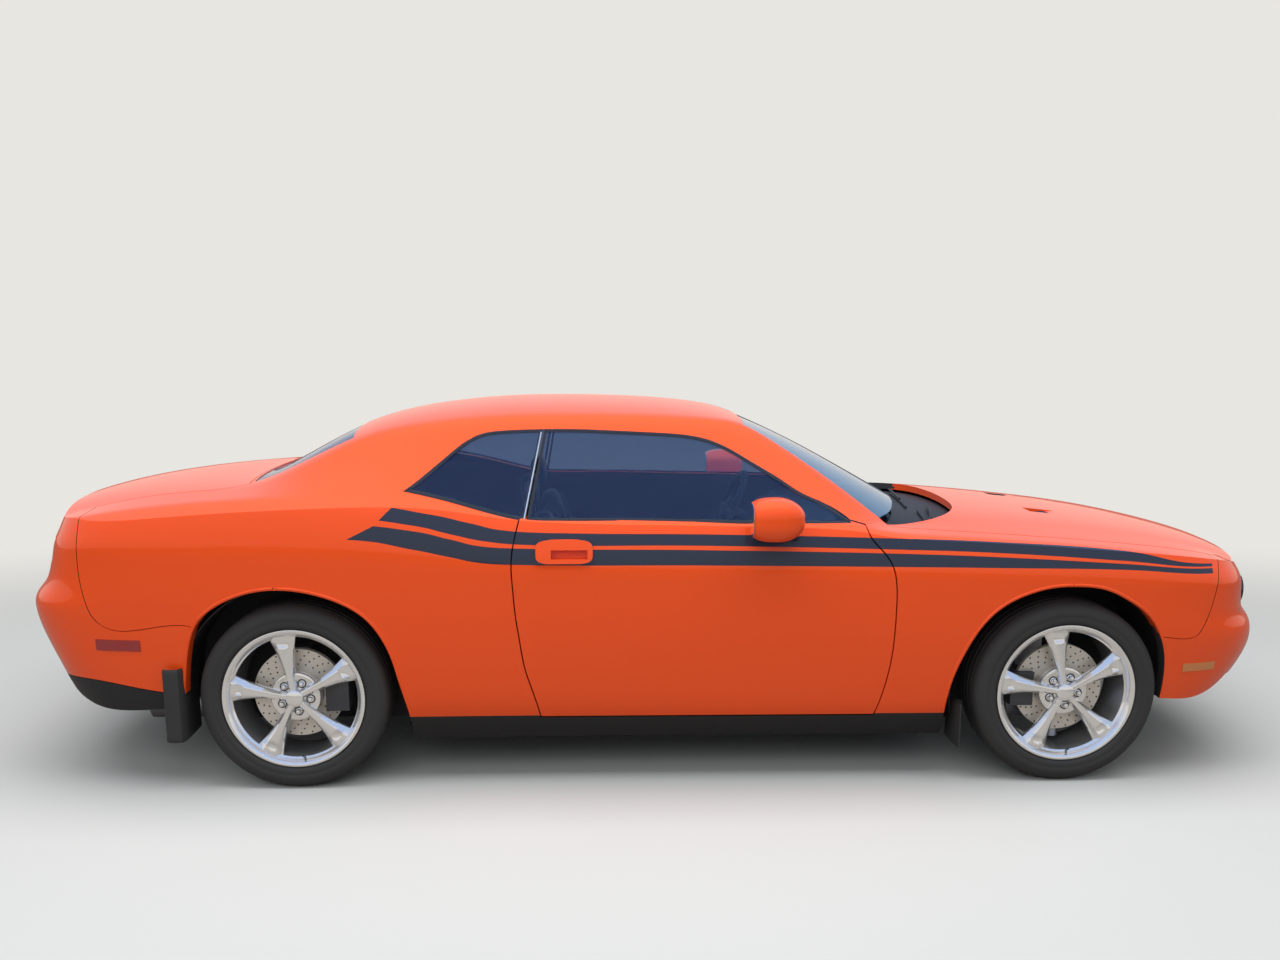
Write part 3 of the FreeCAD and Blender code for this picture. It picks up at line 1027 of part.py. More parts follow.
def build_mirrors():
    """Door mirrors on their feet."""
    centre = Vector(mirror_shares[0] * LENGTH, mirror_shares[1] * HALF_WIDTH, mirror_shares[2] * HEIGHT)
    shell = Part.makeSphere(MIRROR_HALF.y)
    stretch = FreeCAD.Matrix()
    stretch.scale(MIRROR_HALF.x / MIRROR_HALF.y, 1, MIRROR_HALF.z / MIRROR_HALF.y)
    shell = shell.transformGeometry(stretch)
    shell.translate(centre)
    foot = rod(Vector(centre.x + MIRROR_HALF.x, DOOR_INNER + SIDE_WALL, centre.z - MIRROR_HALF.z * 2), centre,
               MIRROR_FOOT)
    mirror = joined([shell, foot]).cut(body_volume(-SEAT_GAP, 0))
    solid = max(mirror.Solids, key=lambda item: item.BoundBox.YMax)
    keep("left_mirror", solid)
    keep("right_mirror", mirrored(solid))


os.makedirs("parts", exist_ok=True)
build_panels()
build_doors_and_glass()
build_front_and_rear()
build_markers()
build_underbody()
build_cabin()
build_mechanics()
build_mirrors()
for corner_name, axle, sign in (("front_left", front_axle, 1), ("front_right", front_axle, -1),
                                ("rear_left", rear_axle, 1), ("rear_right", rear_axle, -1)):
    build_wheel(corner_name, axle, sign)
build_running_gear()
for name, shape in parts.items():
    shape.exportStep(f"parts/{name}.step")
    print(name, len(shape.Solids), shape.isValid(), round(shape.Volume / 1e6, 2))
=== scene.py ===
"""Finish of a two-door muscle car: paint and stripes, glass, wheels, lamps, trim and cabin."""
import logging
import math
from collections.abc import Callable
from dataclasses import dataclass, field
from enum import Enum
from functools import cache

import bmesh
import bpy
import numpy as np
from mathutils import Matrix, Vector
from mathutils.bvhtree import BVHTree


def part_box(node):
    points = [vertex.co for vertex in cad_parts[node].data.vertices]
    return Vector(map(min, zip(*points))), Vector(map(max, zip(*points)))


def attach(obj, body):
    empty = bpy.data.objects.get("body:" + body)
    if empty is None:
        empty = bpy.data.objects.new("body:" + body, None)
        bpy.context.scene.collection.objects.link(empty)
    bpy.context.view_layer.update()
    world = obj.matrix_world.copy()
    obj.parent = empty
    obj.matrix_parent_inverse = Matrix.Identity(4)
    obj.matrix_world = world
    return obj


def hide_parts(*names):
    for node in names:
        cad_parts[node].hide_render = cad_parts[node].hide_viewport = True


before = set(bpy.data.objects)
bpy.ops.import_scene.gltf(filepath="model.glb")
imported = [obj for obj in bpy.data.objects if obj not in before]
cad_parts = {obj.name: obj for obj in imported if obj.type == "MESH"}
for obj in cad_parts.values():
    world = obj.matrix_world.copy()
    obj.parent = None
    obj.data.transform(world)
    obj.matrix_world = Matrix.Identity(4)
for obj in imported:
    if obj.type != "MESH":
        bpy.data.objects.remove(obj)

LOG = logging.getLogger("muscle_car")
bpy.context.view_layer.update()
MM = 0.001
BESIDE_CAR = 1.4
ABOVE_CAR = 2.0
MERGE = 0.00001
PANEL_MERGE = 0.00002
SLIVER = 0.000001
SHARP = 35.0
GLASS_SHARP = 50.0
Array = np.ndarray
Socket = bpy.types.NodeSocket
Material = bpy.types.Material
Triple = tuple[float, float, float]


class Side(Enum):
    """The two sides of the car, by the sign of Y."""

    LEFT = 1
    RIGHT = -1


def turn(degrees: float, axis: str) -> Matrix:
    """Returns the matrix of a turn about an axis."""
    return Matrix.Rotation(math.radians(degrees), 4, axis)


def shift(place: Triple) -> Matrix:
    """Returns the matrix of a move."""
    return Matrix.Translation(place)


def unit(vectors: Array) -> Array:
    """Returns vectors with their lengths set to one."""
    return vectors / np.linalg.norm(vectors, axis=-1, keepdims=True)


def raised(line: Array, y: float | Array = 0.0) -> Array:
    """Puts a side-view line of (x, z) at some Y. Returns its points."""
    return np.stack([line[:, 0], 0 * line[:, 0] + y, line[:, 1]], 1)


def square_to(line: Array) -> Array:
    """Returns the unit vectors square to a flat line at its points."""
    along = unit(np.gradient(line, axis=0))
    return np.stack([-along[:, 1], along[:, 0]], 1)


def capped(rings: Array) -> Array:
    """Closes a stack of rings with its first and last ring drawn in to their middles. Returns all rings."""
    ends = [np.repeat(rings[index][None].mean(1, keepdims=True), rings.shape[1], 1) for index in (0, -1)]
    return np.concatenate([ends[0], rings, ends[1]])


@dataclass
class Patch:
    """Part of a surface: points, and faces that index them."""

    points: Array
    quads: Array

    @staticmethod
    def grid(points: Array, wrap_rows: bool = False, wrap_columns: bool = False) -> "Patch":
        """Makes a patch from a grid of points, where quad (i, j) joins rows i, i+1 and columns j, j+1.

        Args:
            points: Array of shape (rows, columns, 3).
            wrap_rows: Whether the last row joins the first.
            wrap_columns: Whether the last column joins the first.

        Returns:
            The patch.
        """
        rows, columns = points.shape[:2]
        starts = np.arange(rows - 1 + wrap_rows), np.arange(columns - 1 + wrap_columns)
        i, j = np.meshgrid(*starts, indexing="ij")
        next_i, next_j = (i + 1) % rows, (j + 1) % columns
        corners = ((i, j), (next_i, j), (next_i, next_j), (i, next_j))
        quads = np.stack([row * columns + column for row, column in corners], -1)
        return Patch(points.reshape(-1, 3), quads.reshape(-1, 4))

    @staticmethod
    def join(patches: list["Patch"]) -> "Patch":
        """Joins patches into one, with their points one after another. Returns it."""
        starts = np.cumsum([0] + [len(patch.points) for patch in patches[:-1]])
        return Patch(np.concatenate([patch.points for patch in patches]),
                     np.concatenate([patch.quads + start for patch, start in zip(patches, starts)]))

    def moved(self, matrix: Matrix) -> "Patch":
        """Returns the patch with its points multiplied by a 4 by 4 matrix."""
        array = np.array(matrix)
        return Patch(self.points @ array[:3, :3].T + array[:3, 3], self.quads)

    def on(self, side: Side) -> "Patch":
        """Returns the patch as it is on the left, and its mirror image on the right."""
        if side is Side.LEFT:
            return self
        return Patch(self.points * (1, -1, 1), self.quads[:, ::-1])


def revolved(profile: tuple, segments: int) -> Patch:
    """Turns a closed profile about the Y axis: point (r, y) at angle a goes to (r sin a, y, r cos a).

    Args:
        profile: Points of (radius, offset along Y) in millimetres.
        segments: Steps round the axis.

    Returns:
        The closed ring.
    """
    radius, offset = (np.array(profile) * MM).T
    angle = np.linspace(0, math.tau, segments, endpoint=False)[:, None]
    points = np.stack([radius * np.sin(angle), offset + 0 * angle, radius * np.cos(angle)], -1)
    return Patch.grid(points, wrap_rows=True, wrap_columns=True)


def tube(path: Array, radius: float, sides: int = 12) -> Patch:
    """Carries a circle along a path: each ring is radius (cos t u + sin t v), u and v square to the path.

    Args:
        path: Points in metres, shape (n, 3).
        radius: Radius in metres.
        sides: Steps round the circle.

    Returns:
        The closed tube.
    """
    steep = 0.9
    along = unit(np.gradient(path, axis=0))
    first = unit(np.cross(along, (0.0, 0.0, 1.0) if abs(along[0, 2]) < steep else (1.0, 0.0, 0.0)))
    second = np.cross(along, first)
    angle = np.linspace(0, math.tau, sides, endpoint=False)[None, :, None]
    rings = path[:, None] + radius * (np.cos(angle) * first[:, None] + np.sin(angle) * second[:, None])
    return Patch.grid(capped(rings), wrap_columns=True)


def smooth_line(points: tuple | Array, places: Array) -> Array:
    """Reads a smooth line through points: a cubic with slopes from each point's neighbours, in Hermite form.

    Args:
        points: Points of (x, z) with x rising.
        places: Values of x.

    Returns:
        Values of z.
    """
    x, z = np.array(points, float).T
    slope = np.gradient(z, x)
    index = np.clip(np.searchsorted(x, places) - 1, 0, len(x) - 2)
    span = x[index + 1] - x[index]
    t = np.clip((places - x[index]) / span, 0, 1)
    return ((1 + 2 * t) * (1 - t) ** 2 * z[index] + t * (1 - t) ** 2 * span * slope[index]
            + t ** 2 * (3 - 2 * t) * z[index + 1] + t ** 2 * (t - 1) * span * slope[index + 1])


class Nodes:
    """Small helper that adds shader nodes to a tree and links them."""

    def __init__(self, tree: bpy.types.NodeTree) -> None:
        """Starts with the nodes that the tree has."""
        self.tree = tree

    def feed(self, target: Socket, value: object) -> None:
        """Links a socket to another one, or sets its value."""
        if isinstance(value, Socket):
            self.tree.links.new(value, target)
        else:
            target.default_value = value

    def add(self, kind: str, sockets: dict | None = None, **values: object) -> bpy.types.Node:
        """Adds a node.

        Args:
            kind: Its kind, without the words ShaderNode.
            sockets: Values or sockets for its inputs, by name or number.
            values: Its properties.

        Returns:
            The node.
        """
        node = self.tree.nodes.new("ShaderNode" + kind)
        for key, value in values.items():
            setattr(node, key, value)
        for key, value in (sockets or {}).items():
            self.feed(node.inputs[key], value)
        return node

    def math(self, operation: str, *values: object) -> Socket:
        """Adds a math node on numbers or sockets. Returns its result."""
        return self.add("Math", dict(enumerate(values)), operation=operation).outputs[0]

    def mix(self, factor: Socket, *colours: Triple | Socket) -> Socket:
        """Mixes two colours by a factor. Returns the colour."""
        first, second = ((*colour, 1) if isinstance(colour, tuple) else colour for colour in colours)
        node = self.add("Mix", {"Factor": factor, "A": first, "B": second}, data_type="RGBA")
        return node.outputs["Result"]

    def spread(self, value: Socket, low: float, high: float) -> Socket:
        """Maps a value from 0 to 1 onto a range. Returns the result."""
        return self.add("MapRange", {"To Min": low, "To Max": high, "Value": value}).outputs["Result"]


class Shader(Nodes):
    """Nodes of a material with one principled shader."""

    def __init__(self, name: str) -> None:
        """Starts the material."""
        self.material = bpy.data.materials.new(name)
        self.material.use_nodes = True
        super().__init__(self.material.node_tree)
        self.shader = self.tree.nodes["Principled BSDF"]

    def set(self, **values: object) -> None:
        """Sets or links the shader's sockets, named with underscores for spaces."""
        for key, value in values.items():
            self.feed(self.shader.inputs[key.replace("_", " ")], value)

    def position(self) -> Socket:
        """Returns the socket of the object's own coordinates."""
        return self.add("TexCoord").outputs["Object"]

    def axes(self) -> list[Socket]:
        """Returns the sockets of X, Y and Z in the object's own coordinates."""
        return list(self.add("SeparateXYZ", {0: self.position()}).outputs)

    def noise(self, scale: float, detail: float = 3.0, stretch: Triple = (1, 1, 1)) -> Socket:
        """Adds noise over the object's coordinates. Returns its value."""
        place = self.add("Mapping", {"Scale": stretch, "Vector": self.position()}).outputs[0]
        return self.add("TexNoise", {"Scale": scale, "Detail": detail, "Vector": place}).outputs["Fac"]

    def bump(self, height: Socket, strength: float, distance: float) -> None:
        """Bumps the shader's normal by a height."""
        node = self.add("Bump", {"Strength": strength, "Distance": distance, "Height": height})
        self.set(Normal=node.outputs[0])


def scaled(colour: Triple, share: float) -> Triple:
    """Returns a colour made darker or lighter, up to white."""
    return tuple(min(value * share, 1) for value in colour)


@dataclass(frozen=True)
class Finish:
    """Plain finish with a mottled colour, an uneven roughness and a fine bump."""

    name: str
    colour: Triple
    roughness: float = 0.5
    metallic: float = 0.0
    coat: float = 0.0
    variation: float = 0.12
    grain_scale: float = 400.0
    grain_depth: float = 0.00005
    grain_stretch: Triple = (1.0, 1.0, 1.0)
    grain_detail: float = 2.0
    grain_strength: float = 0.4
    patch_scale: float = 6.0
    coat_roughness: float = 0.04

    def material(self) -> Material:
        """Builds the finish. Returns its material."""
        shader = Shader(self.name)
        dark, light = (scaled(self.colour, 1 + sign * self.variation) for sign in (-1, 1))
        base = shader.mix(shader.noise(self.patch_scale), dark, light)
        grain = shader.noise(self.grain_scale, self.grain_detail, self.grain_stretch)
        spread = self.roughness * self.variation
        rough = shader.spread(grain, self.roughness - spread, self.roughness + spread)
        shader.set(Base_Color=base, Roughness=rough, Metallic=self.metallic, Coat_Weight=self.coat,
                   Coat_Roughness=self.coat_roughness)
        shader.bump(grain, self.grain_strength, self.grain_depth)
        return shader.material


@dataclass(frozen=True)
class StripedPaint:
    """Glossy body paint with two stripes along each side of the car.

    A point is in a stripe where its height lies between the stripe's two edges, each a smooth curve of X,
    and it lies ahead of the line between the two points of the stripe's rear end.
    """

    name: str = "body_paint"
    paint: Triple = (0.90, 0.088, 0.012)
    mottle: float = 0.96
    patch_scale: float = 1.3
    patch_detail: float = 2.0
    grain_scale: float = 260.0
    grain_strength: float = 0.05
    grain_depth: float = 0.00002
    stripe: Triple = (0.022, 0.03, 0.055)
    roughness: tuple[float, float] = (0.38, 0.3)
    low_x: float = -1.25
    high_x: float = 2.25
    low_z: float = 0.78
    high_z: float = 1.12
    inner_y: float = 0.80
    stripes: tuple = (
        (((-1.18, 1.099), (-0.852, 1.056), (-0.711, 1.024), (-0.549, 0.993), (-0.3, 0.984),
          (0.143, 0.979), (0.777, 0.964), (1.231, 0.947), (1.73, 0.911), (2.111, 0.849)),
         ((-1.18, 1.047), (-0.922, 1.018), (-0.781, 0.985), (-0.641, 0.956), (-0.526, 0.945),
          (0.142, 0.938), (0.831, 0.922), (1.229, 0.908), (1.731, 0.874), (2.112, 0.838)),
         (-1.000, 1.077), (-1.050, 1.029)),
        (((-1.18, 1.025), (-0.922, 0.998), (-0.781, 0.966), (-0.641, 0.937), (-0.526, 0.931),
          (0.142, 0.922), (0.843, 0.907), (1.229, 0.893), (1.732, 0.863), (2.113, 0.832)),
         ((-1.18, 0.970), (-0.921, 0.931), (-0.78, 0.901), (-0.641, 0.876), (-0.526, 0.871),
          (0.142, 0.866), (0.875, 0.857), (1.231, 0.852), (1.733, 0.841), (2.115, 0.813)),
         (-1.069, 1.013), (-1.183, 0.957)))
    nose_x: float = 2.113
    handle: tuple = ((-0.3645, 0.106), (0.9185, 0.0445))
    handle_power: float = 4.0

    def edge(self, shader: Shader, x: Socket, points: tuple) -> Socket:
        """Reads a smooth curve of X in a material.

        Args:
            shader: The material's helper.
            x: Socket of X in metres.
            points: The curve's points of (x, z) in metres.

        Returns:
            Socket of Z in metres.
        """
        width, height = self.high_x - self.low_x, self.high_z - self.low_z
        share = shader.math("DIVIDE", shader.math("SUBTRACT", x, self.low_x), width)
        curve = shader.add("FloatCurve", {"Value": share})
        line = curve.mapping.curves[0]
        places = [((px - self.low_x) / width, (pz - self.low_z) / height) for px, pz in points]
        line.points[0].location, line.points[1].location = (0.0, places[0][1]), (1.0, places[-1][1])
        for place in places:
            line.points.new(*place)
        curve.mapping.update()
        return shader.math("ADD", shader.math("MULTIPLY", curve.outputs[0], height), self.low_z)

    def mask(self, shader: Shader) -> Socket:
        """Builds the stripes' mask, 1 inside them and 0 on the door handle. Returns its socket."""
        x, y, z = shader.axes()
        found = []
        for top, bottom, (high_x, high_z), (low_x, low_z) in self.stripes:
            below = shader.math("LESS_THAN", z, self.edge(shader, x, top))
            above = shader.math("GREATER_THAN", z, self.edge(shader, x, bottom))
            slope = (high_x - low_x) / (high_z - low_z)
            start = shader.math("MULTIPLY_ADD", z, slope, low_x - slope * low_z)
            ahead = shader.math("GREATER_THAN", x, start)
            found.append(shader.math("MULTIPLY", shader.math("MULTIPLY", below, above), ahead))
        both = shader.math("MAXIMUM", *found)
        outside = shader.math("GREATER_THAN", shader.math("ABSOLUTE", y), self.inner_y)
        behind_nose = shader.math("LESS_THAN", x, self.nose_x)
        reaches = []
        for socket, (middle, half) in zip((x, z), self.handle):
            share = shader.math("DIVIDE", shader.math("SUBTRACT", socket, middle), half)
            reaches.append(shader.math("POWER", shader.math("ABSOLUTE", share), self.handle_power))
        off_handle = shader.math("GREATER_THAN", shader.math("ADD", *reaches), 1.0)
        return shader.math("MULTIPLY", shader.math("MULTIPLY", both, outside),
                           shader.math("MULTIPLY", behind_nose, off_handle))

    def material(self) -> Material:
        """Builds the paint. Returns its material."""
        shader = Shader(self.name)
        patches = shader.noise(self.patch_scale, self.patch_detail)
        base = shader.mix(patches, scaled(self.paint, self.mottle), self.paint)
        mask = self.mask(shader)
        colour, rough = shader.mix(mask, base, self.stripe), shader.spread(mask, *self.roughness)
        shader.set(Base_Color=colour, Roughness=rough, Coat_Weight=0.6, Coat_Roughness=0.03, Coat_IOR=1.45,
                   Specular_IOR_Level=0.15)
        shader.bump(shader.noise(self.grain_scale, 1.0), self.grain_strength, self.grain_depth)
        return shader.material


@dataclass(frozen=True)
class Tint:
    """Clear or tinted glass; the tinted panes carry a faint painted glow of their own colour, painted light
    that stands for the light seen in and through the glass.
    """

    name: str
    colour: Triple
    transmission: float = 1.0
    index: float = 1.45
    mirror: float = 0.5
    painted_glow: Triple = (0.0, 0.0, 0.0)
    roughness: float = 0.01
    haze: float = 0.94
    haze_scale: float = 3.0
    haze_detail: float = 4.0
    coat_share: float = 0.8

    def material(self) -> Material:
        """Builds the glass. Returns its material."""
        shader = Shader(self.name)
        patches = shader.noise(self.haze_scale, self.haze_detail)
        base = shader.mix(patches, self.colour, scaled(self.colour, self.haze))
        # The emission colour is a painted glow, not a lamp: it stands for the light seen in and through the
        # glass.
        shader.set(Base_Color=base, Roughness=self.roughness, Transmission_Weight=self.transmission,
                   IOR=self.index, Specular_IOR_Level=self.mirror, Coat_Weight=self.mirror * self.coat_share,
                   Coat_Roughness=self.roughness, Emission_Color=(*self.painted_glow, 1),
                   Emission_Strength=float(any(self.painted_glow)))
        return shader.material


@dataclass(frozen=True)
class MarkerLens:
    """Glossy ribbed lens, amber on the front half of the car and red on the rear half."""

    name: str = "marker_lens"
    front: Triple = (0.62, 0.20, 0.04)
    rear: Triple = (0.30, 0.008, 0.008)
    ribs: float = 700.0

    def material(self) -> Material:
        """Builds the lens. Returns its material."""
        shader = Shader(self.name)
        x = shader.axes()[0]
        base = shader.mix(shader.math("GREATER_THAN", x, 0.0), self.rear, self.front)
        shader.set(Base_Color=base, Roughness=0.15, Coat_Weight=1.0, Coat_Roughness=0.03)
        shader.bump(shader.math("SINE", shader.math("MULTIPLY", x, self.ribs)), 0.3, 0.0006)
        return shader.material


@dataclass(frozen=True)
class LampLens:
    """Red lens of a tail lamp: upright flutes with painted shade in their grooves, and a dark line along its
    middle.
    """

    name: str = "red_lens"
    flute: Triple = (0.55, 0.006, 0.004)
    groove_shade: Triple = (0.20, 0.002, 0.002)
    seam: Triple = (0.02, 0.001, 0.001)
    pitch: float = 0.030
    middle: float = 0.8975
    seam_half: float = 0.0035

    def material(self) -> Material:
        """Builds the lens. Returns its material."""
        shader = Shader(self.name)
        _, y, z = shader.axes()
        wave = shader.math("SINE", shader.math("MULTIPLY", y, math.tau / self.pitch))
        # Painted shade: the grooves between the flutes are coloured darker than the flutes.
        fluted = shader.mix(shader.spread(wave, 0.5, 1.0), self.groove_shade, self.flute)
        level = shader.math("ABSOLUTE", shader.math("SUBTRACT", z, self.middle))
        colour = shader.mix(shader.math("GREATER_THAN", level, self.seam_half), self.seam, fluted)
        shader.set(Base_Color=colour, Emission_Color=colour, Roughness=0.3, Specular_IOR_Level=0.3,
                   Coat_Weight=0.35, Coat_Roughness=0.05, Emission_Strength=0.25)
        shader.bump(wave, 0.4, 0.0012)
        return shader.material


FINISHES = {
    "body": StripedPaint(),
    # The window and screen glass have a painted glow, their last colour: painted light that stands for the
    # light seen in and through them.
    "window": Tint("tinted_glass", (0.57, 0.69, 0.76), 1.0, 1.10, 0.10, (0.0040, 0.0085, 0.0330)),
    "screen": Tint("screen_glass", (0.20, 0.42, 0.60), 0.80, 1.30, 0.30, (0.004, 0.014, 0.028)),
    "clear": Tint("clear_lens", (0.92, 0.94, 0.95)),
    "red": LampLens(),
    "marker": MarkerLens(),
    "black": Finish("black_plastic", (0.011, 0.011, 0.012), 0.55, grain_scale=900.0),
    "gloss_black": Finish("gloss_black", (0.012, 0.012, 0.014), 0.2, coat=0.6, grain_scale=300.0),
    "rubber": Finish("tyre_rubber", (0.032, 0.032, 0.032), 0.72, grain_scale=700.0, grain_depth=0.0001),
    "polished": Finish("polished_alloy", (0.93, 0.92, 0.90), 0.17, 0.86, coat=0.3, variation=0.04,
                       grain_scale=500.0, grain_stretch=(1, 6, 1), grain_depth=0.00001),
    "disc": Finish("brake_disc_steel", (0.72, 0.67, 0.60), 0.4, 0.6, grain_scale=700.0),
    "steel": Finish("machined_steel", (0.42, 0.42, 0.44), 0.32, 1.0, grain_scale=600.0,
                    grain_stretch=(1, 8, 1)),
    "iron": Finish("cast_iron", (0.10, 0.10, 0.105), 0.6, 0.8, variation=0.3, grain_scale=220.0,
                   grain_depth=0.0002),
    "chrome": Finish("chrome", (0.9, 0.9, 0.92), 0.06, 1.0, variation=0.02, grain_depth=0.000005),
    "leather": Finish("seat_leather", (0.05, 0.05, 0.055), 0.5, grain_scale=350.0, grain_depth=0.0004),
    "trim": Finish("cabin_trim", (0.035, 0.035, 0.04), 0.6, grain_scale=500.0, grain_depth=0.0002),
    "under": Finish("underbody_coat", (0.02, 0.02, 0.021), 0.75, grain_scale=120.0, grain_depth=0.0004),
}


@cache
def finish(name: str) -> Material:
    """Builds a finish of the list when it is first asked for. Returns its material."""
    return FINISHES[name].material()


def build(name: str, patch: Patch, look: str, slot: str, body: str = "body", sharp: float = SHARP,
          node: str = "", panel: bool = False) -> bpy.types.Object:
    """Makes a piece of the scene from a patch, merges its doubles and lets it ride on a body.

    Args:
        name: The piece's name.
        patch: Its surface, in metres in the row frame.
        look: Name of its finish.
        slot: The record's material slot; not used.
        body: CAD body that it moves with.
        sharp: Edges over this angle in degrees stay sharp.
        node: CAD node that it stands in for, or none.
        panel: Whether the patch is a CAD mesh, whose faces are sound and look outwards.

    Returns:
        The object.
    """
    mesh = bpy.data.meshes.new(name)
    mesh.from_pydata(patch.points.tolist(), [], patch.quads.tolist())
    tidy = bmesh.new()
    tidy.from_mesh(mesh)
    bmesh.ops.remove_doubles(tidy, verts=tidy.verts, dist=PANEL_MERGE if panel else MERGE)
    if not panel:
        bmesh.ops.dissolve_degenerate(tidy, edges=tidy.edges, dist=SLIVER)
        bmesh.ops.recalc_face_normals(tidy, faces=tidy.faces)
    tidy.to_mesh(mesh)
    tidy.free()
    mesh.shade_smooth()
    mesh.set_sharp_from_angle(angle=math.radians(sharp))
    piece = bpy.data.objects.new(name, mesh)
    bpy.context.collection.objects.link(piece)
    mesh.materials.append(finish(look))
    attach(piece, body)
    if node:
        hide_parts(node)
    LOG.info("piece %s rides on %s", name, body)
    return piece


def cad_patch(node: str) -> Patch:
    """Reads a CAD node's mesh. Returns its points and its triangles."""
    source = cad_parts[node].data
    points, corners = np.empty(len(source.vertices) * 3), np.empty(len(source.loops), int)
    source.vertices.foreach_get("co", points)
    source.loops.foreach_get("vertex_index", corners)
    return Patch(points.reshape(-1, 3), corners.reshape(-1, 3))


@dataclass
class Skin:
    """Outer surface of some CAD nodes, for trim that lies on it."""

    nodes: tuple[str, ...]
    tree: BVHTree = field(init=False)

    def __post_init__(self) -> None:
        """Joins the nodes' triangles in one search tree."""
        patch = Patch.join([cad_patch(node) for node in self.nodes])
        self.tree = BVHTree.FromPolygons(patch.points.tolist(), patch.quads.tolist())

    def laid(self, starts: Array, direction: Triple, stand: float) -> Array:
        """Drops points along a direction onto the surface and stands them off it.

        Args:
            starts: Points outside the car, shape (n, 3).
            direction: Direction they drop in.
            stand: Height over the surface in metres.

        Returns:
            The points that met the surface.
        """
        way = Vector(direction)
        found = [self.tree.ray_cast(Vector(start), way) for start in starts]
        return np.array([hit + normal * stand * (-1 if normal.dot(way) > 0 else 1)
                         for hit, normal, _, _ in found if hit is not None])

    def fitted(self, starts: Array, axis: int, even: bool = False) -> Callable:
        """Drops points on the surface along an axis and smooths it with a polynomial of the other two.

        Args:
            starts: Points outside the car, shape (n, 3).
            axis: 1 for a surface at the car's side, 2 for one seen from above.
            even: Whether the surface is the same on both sides of the car's middle.

        Returns:
            A function that lays a grid of points on the smooth surface, at a height over it.
        """
        order = 4
        first, second = [index for index in range(3) if index != axis]
        centre, reach = starts.mean(0), np.ptp(starts, axis=0).max() / 2
        powers = [(i, j) for i in range(order + 1) for j in range(order + 1 - i) if not (even and j % 2)]

        def terms(points: Array) -> Array:
            """Returns the polynomial's terms at some points."""
            a = (points[:, first] - centre[first]) / reach
            b = points[:, second] / reach if even else (points[:, second] - centre[second]) / reach
            return np.stack([a ** i * b ** j for i, j in powers], 1)

        away = np.sign(starts[0, axis])
        samples = self.laid(starts, tuple(-away * np.eye(3)[axis]), 0.0)
        weights = np.linalg.lstsq(terms(samples), samples[:, axis], rcond=None)[0]

        def lay(points: Array, stand: float | Array = 0.0) -> Array:
            """Moves points along the axis to a height over the surface. Returns them."""
            placed = points.copy()
            level = (terms(points.reshape(-1, 3)) @ weights).reshape(points.shape[:-1])
            placed[..., axis] = level + away * stand
            return placed

        return lay

    def beside(self, line: Array, side: Side, stand: float) -> Array:
        """Lays a side-view line of (x, z) on one side of the car. Returns the points that met it."""
        return self.laid(raised(line, side.value * BESIDE_CAR), (0, -side.value, 0), stand)

    def above(self, line: Array, stand: float) -> Array:
        """Lays a plan line of (x, y) on the car from above. Returns the points that met it."""
        return self.laid(np.insert(line, 2, ABOVE_CAR, 1), (0, 0, -1), stand)


FIXED_PANELS = ("roof", "left_front_fender", "right_front_fender", "left_quarter_panel",
                "right_quarter_panel", "front_bumper", "rear_bumper")
NODE_LOOKS = {
    "clear": ("headlamps",),
    "red": ("tail_lamps",),
    "marker": ("side_markers",),
    "gloss_black": ("tail_panel",),
    "black": ("cowl", "grille", "rear_valance", "sills"),
    "rubber": ("mud_flaps",),
    "under": ("wheel_well_liners", "floor_pan", "bulkheads"),
    "iron": ("engine", "rear_knuckles", "front_left_knuckle", "front_right_knuckle"),
    "trim": ("dashboard", "steering_wheel"),
    "leather": ("front_seats", "rear_seat"),
    "steel": ("front_suspension", "rear_suspension", "exhaust"),
}


@dataclass
class Bodywork:
    """Painted panels, and the finishes of the CAD nodes that keep their own shape."""

    moving: tuple[str, ...] = ("hood", "boot_lid", "left_door", "right_door")
    sharp: float = 28.0
    middle_half: float = 1.5
    middle_z: float = 0.6
    inward: float = -0.35

    def panel(self, node: str, body: str) -> None:
        """Stands a smooth painted copy in for a CAD panel, with dark faces where it looks into the car."""
        patch = cad_patch(node)
        mesh = build(node + "_skin", patch, "body", "body_paint", body, self.sharp, node, panel=True).data
        mesh.materials.append(finish("trim"))
        centres, normals = np.empty((2, len(mesh.polygons), 3))
        mesh.polygons.foreach_get("center", centres.ravel())
        mesh.polygons.foreach_get("normal", normals.ravel())
        middle = centres * (1, 0, 0) + (0, 0, self.middle_z)
        middle[:, 0] = np.clip(middle[:, 0], -self.middle_half, self.middle_half)
        facing = (unit(centres - middle) * normals).sum(1)
        mesh.polygons.foreach_set("material_index", (facing < self.inward).astype(np.int32))

    def dress(self) -> None:
        """Builds the panels and gives the other nodes their finishes."""
        for node in FIXED_PANELS + self.moving:
            self.panel(node, node if node in self.moving else "body")
        for look, nodes in NODE_LOOKS.items():
            for node in nodes:
                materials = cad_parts[node].data.materials
                materials.clear()
                materials.append(finish(look))


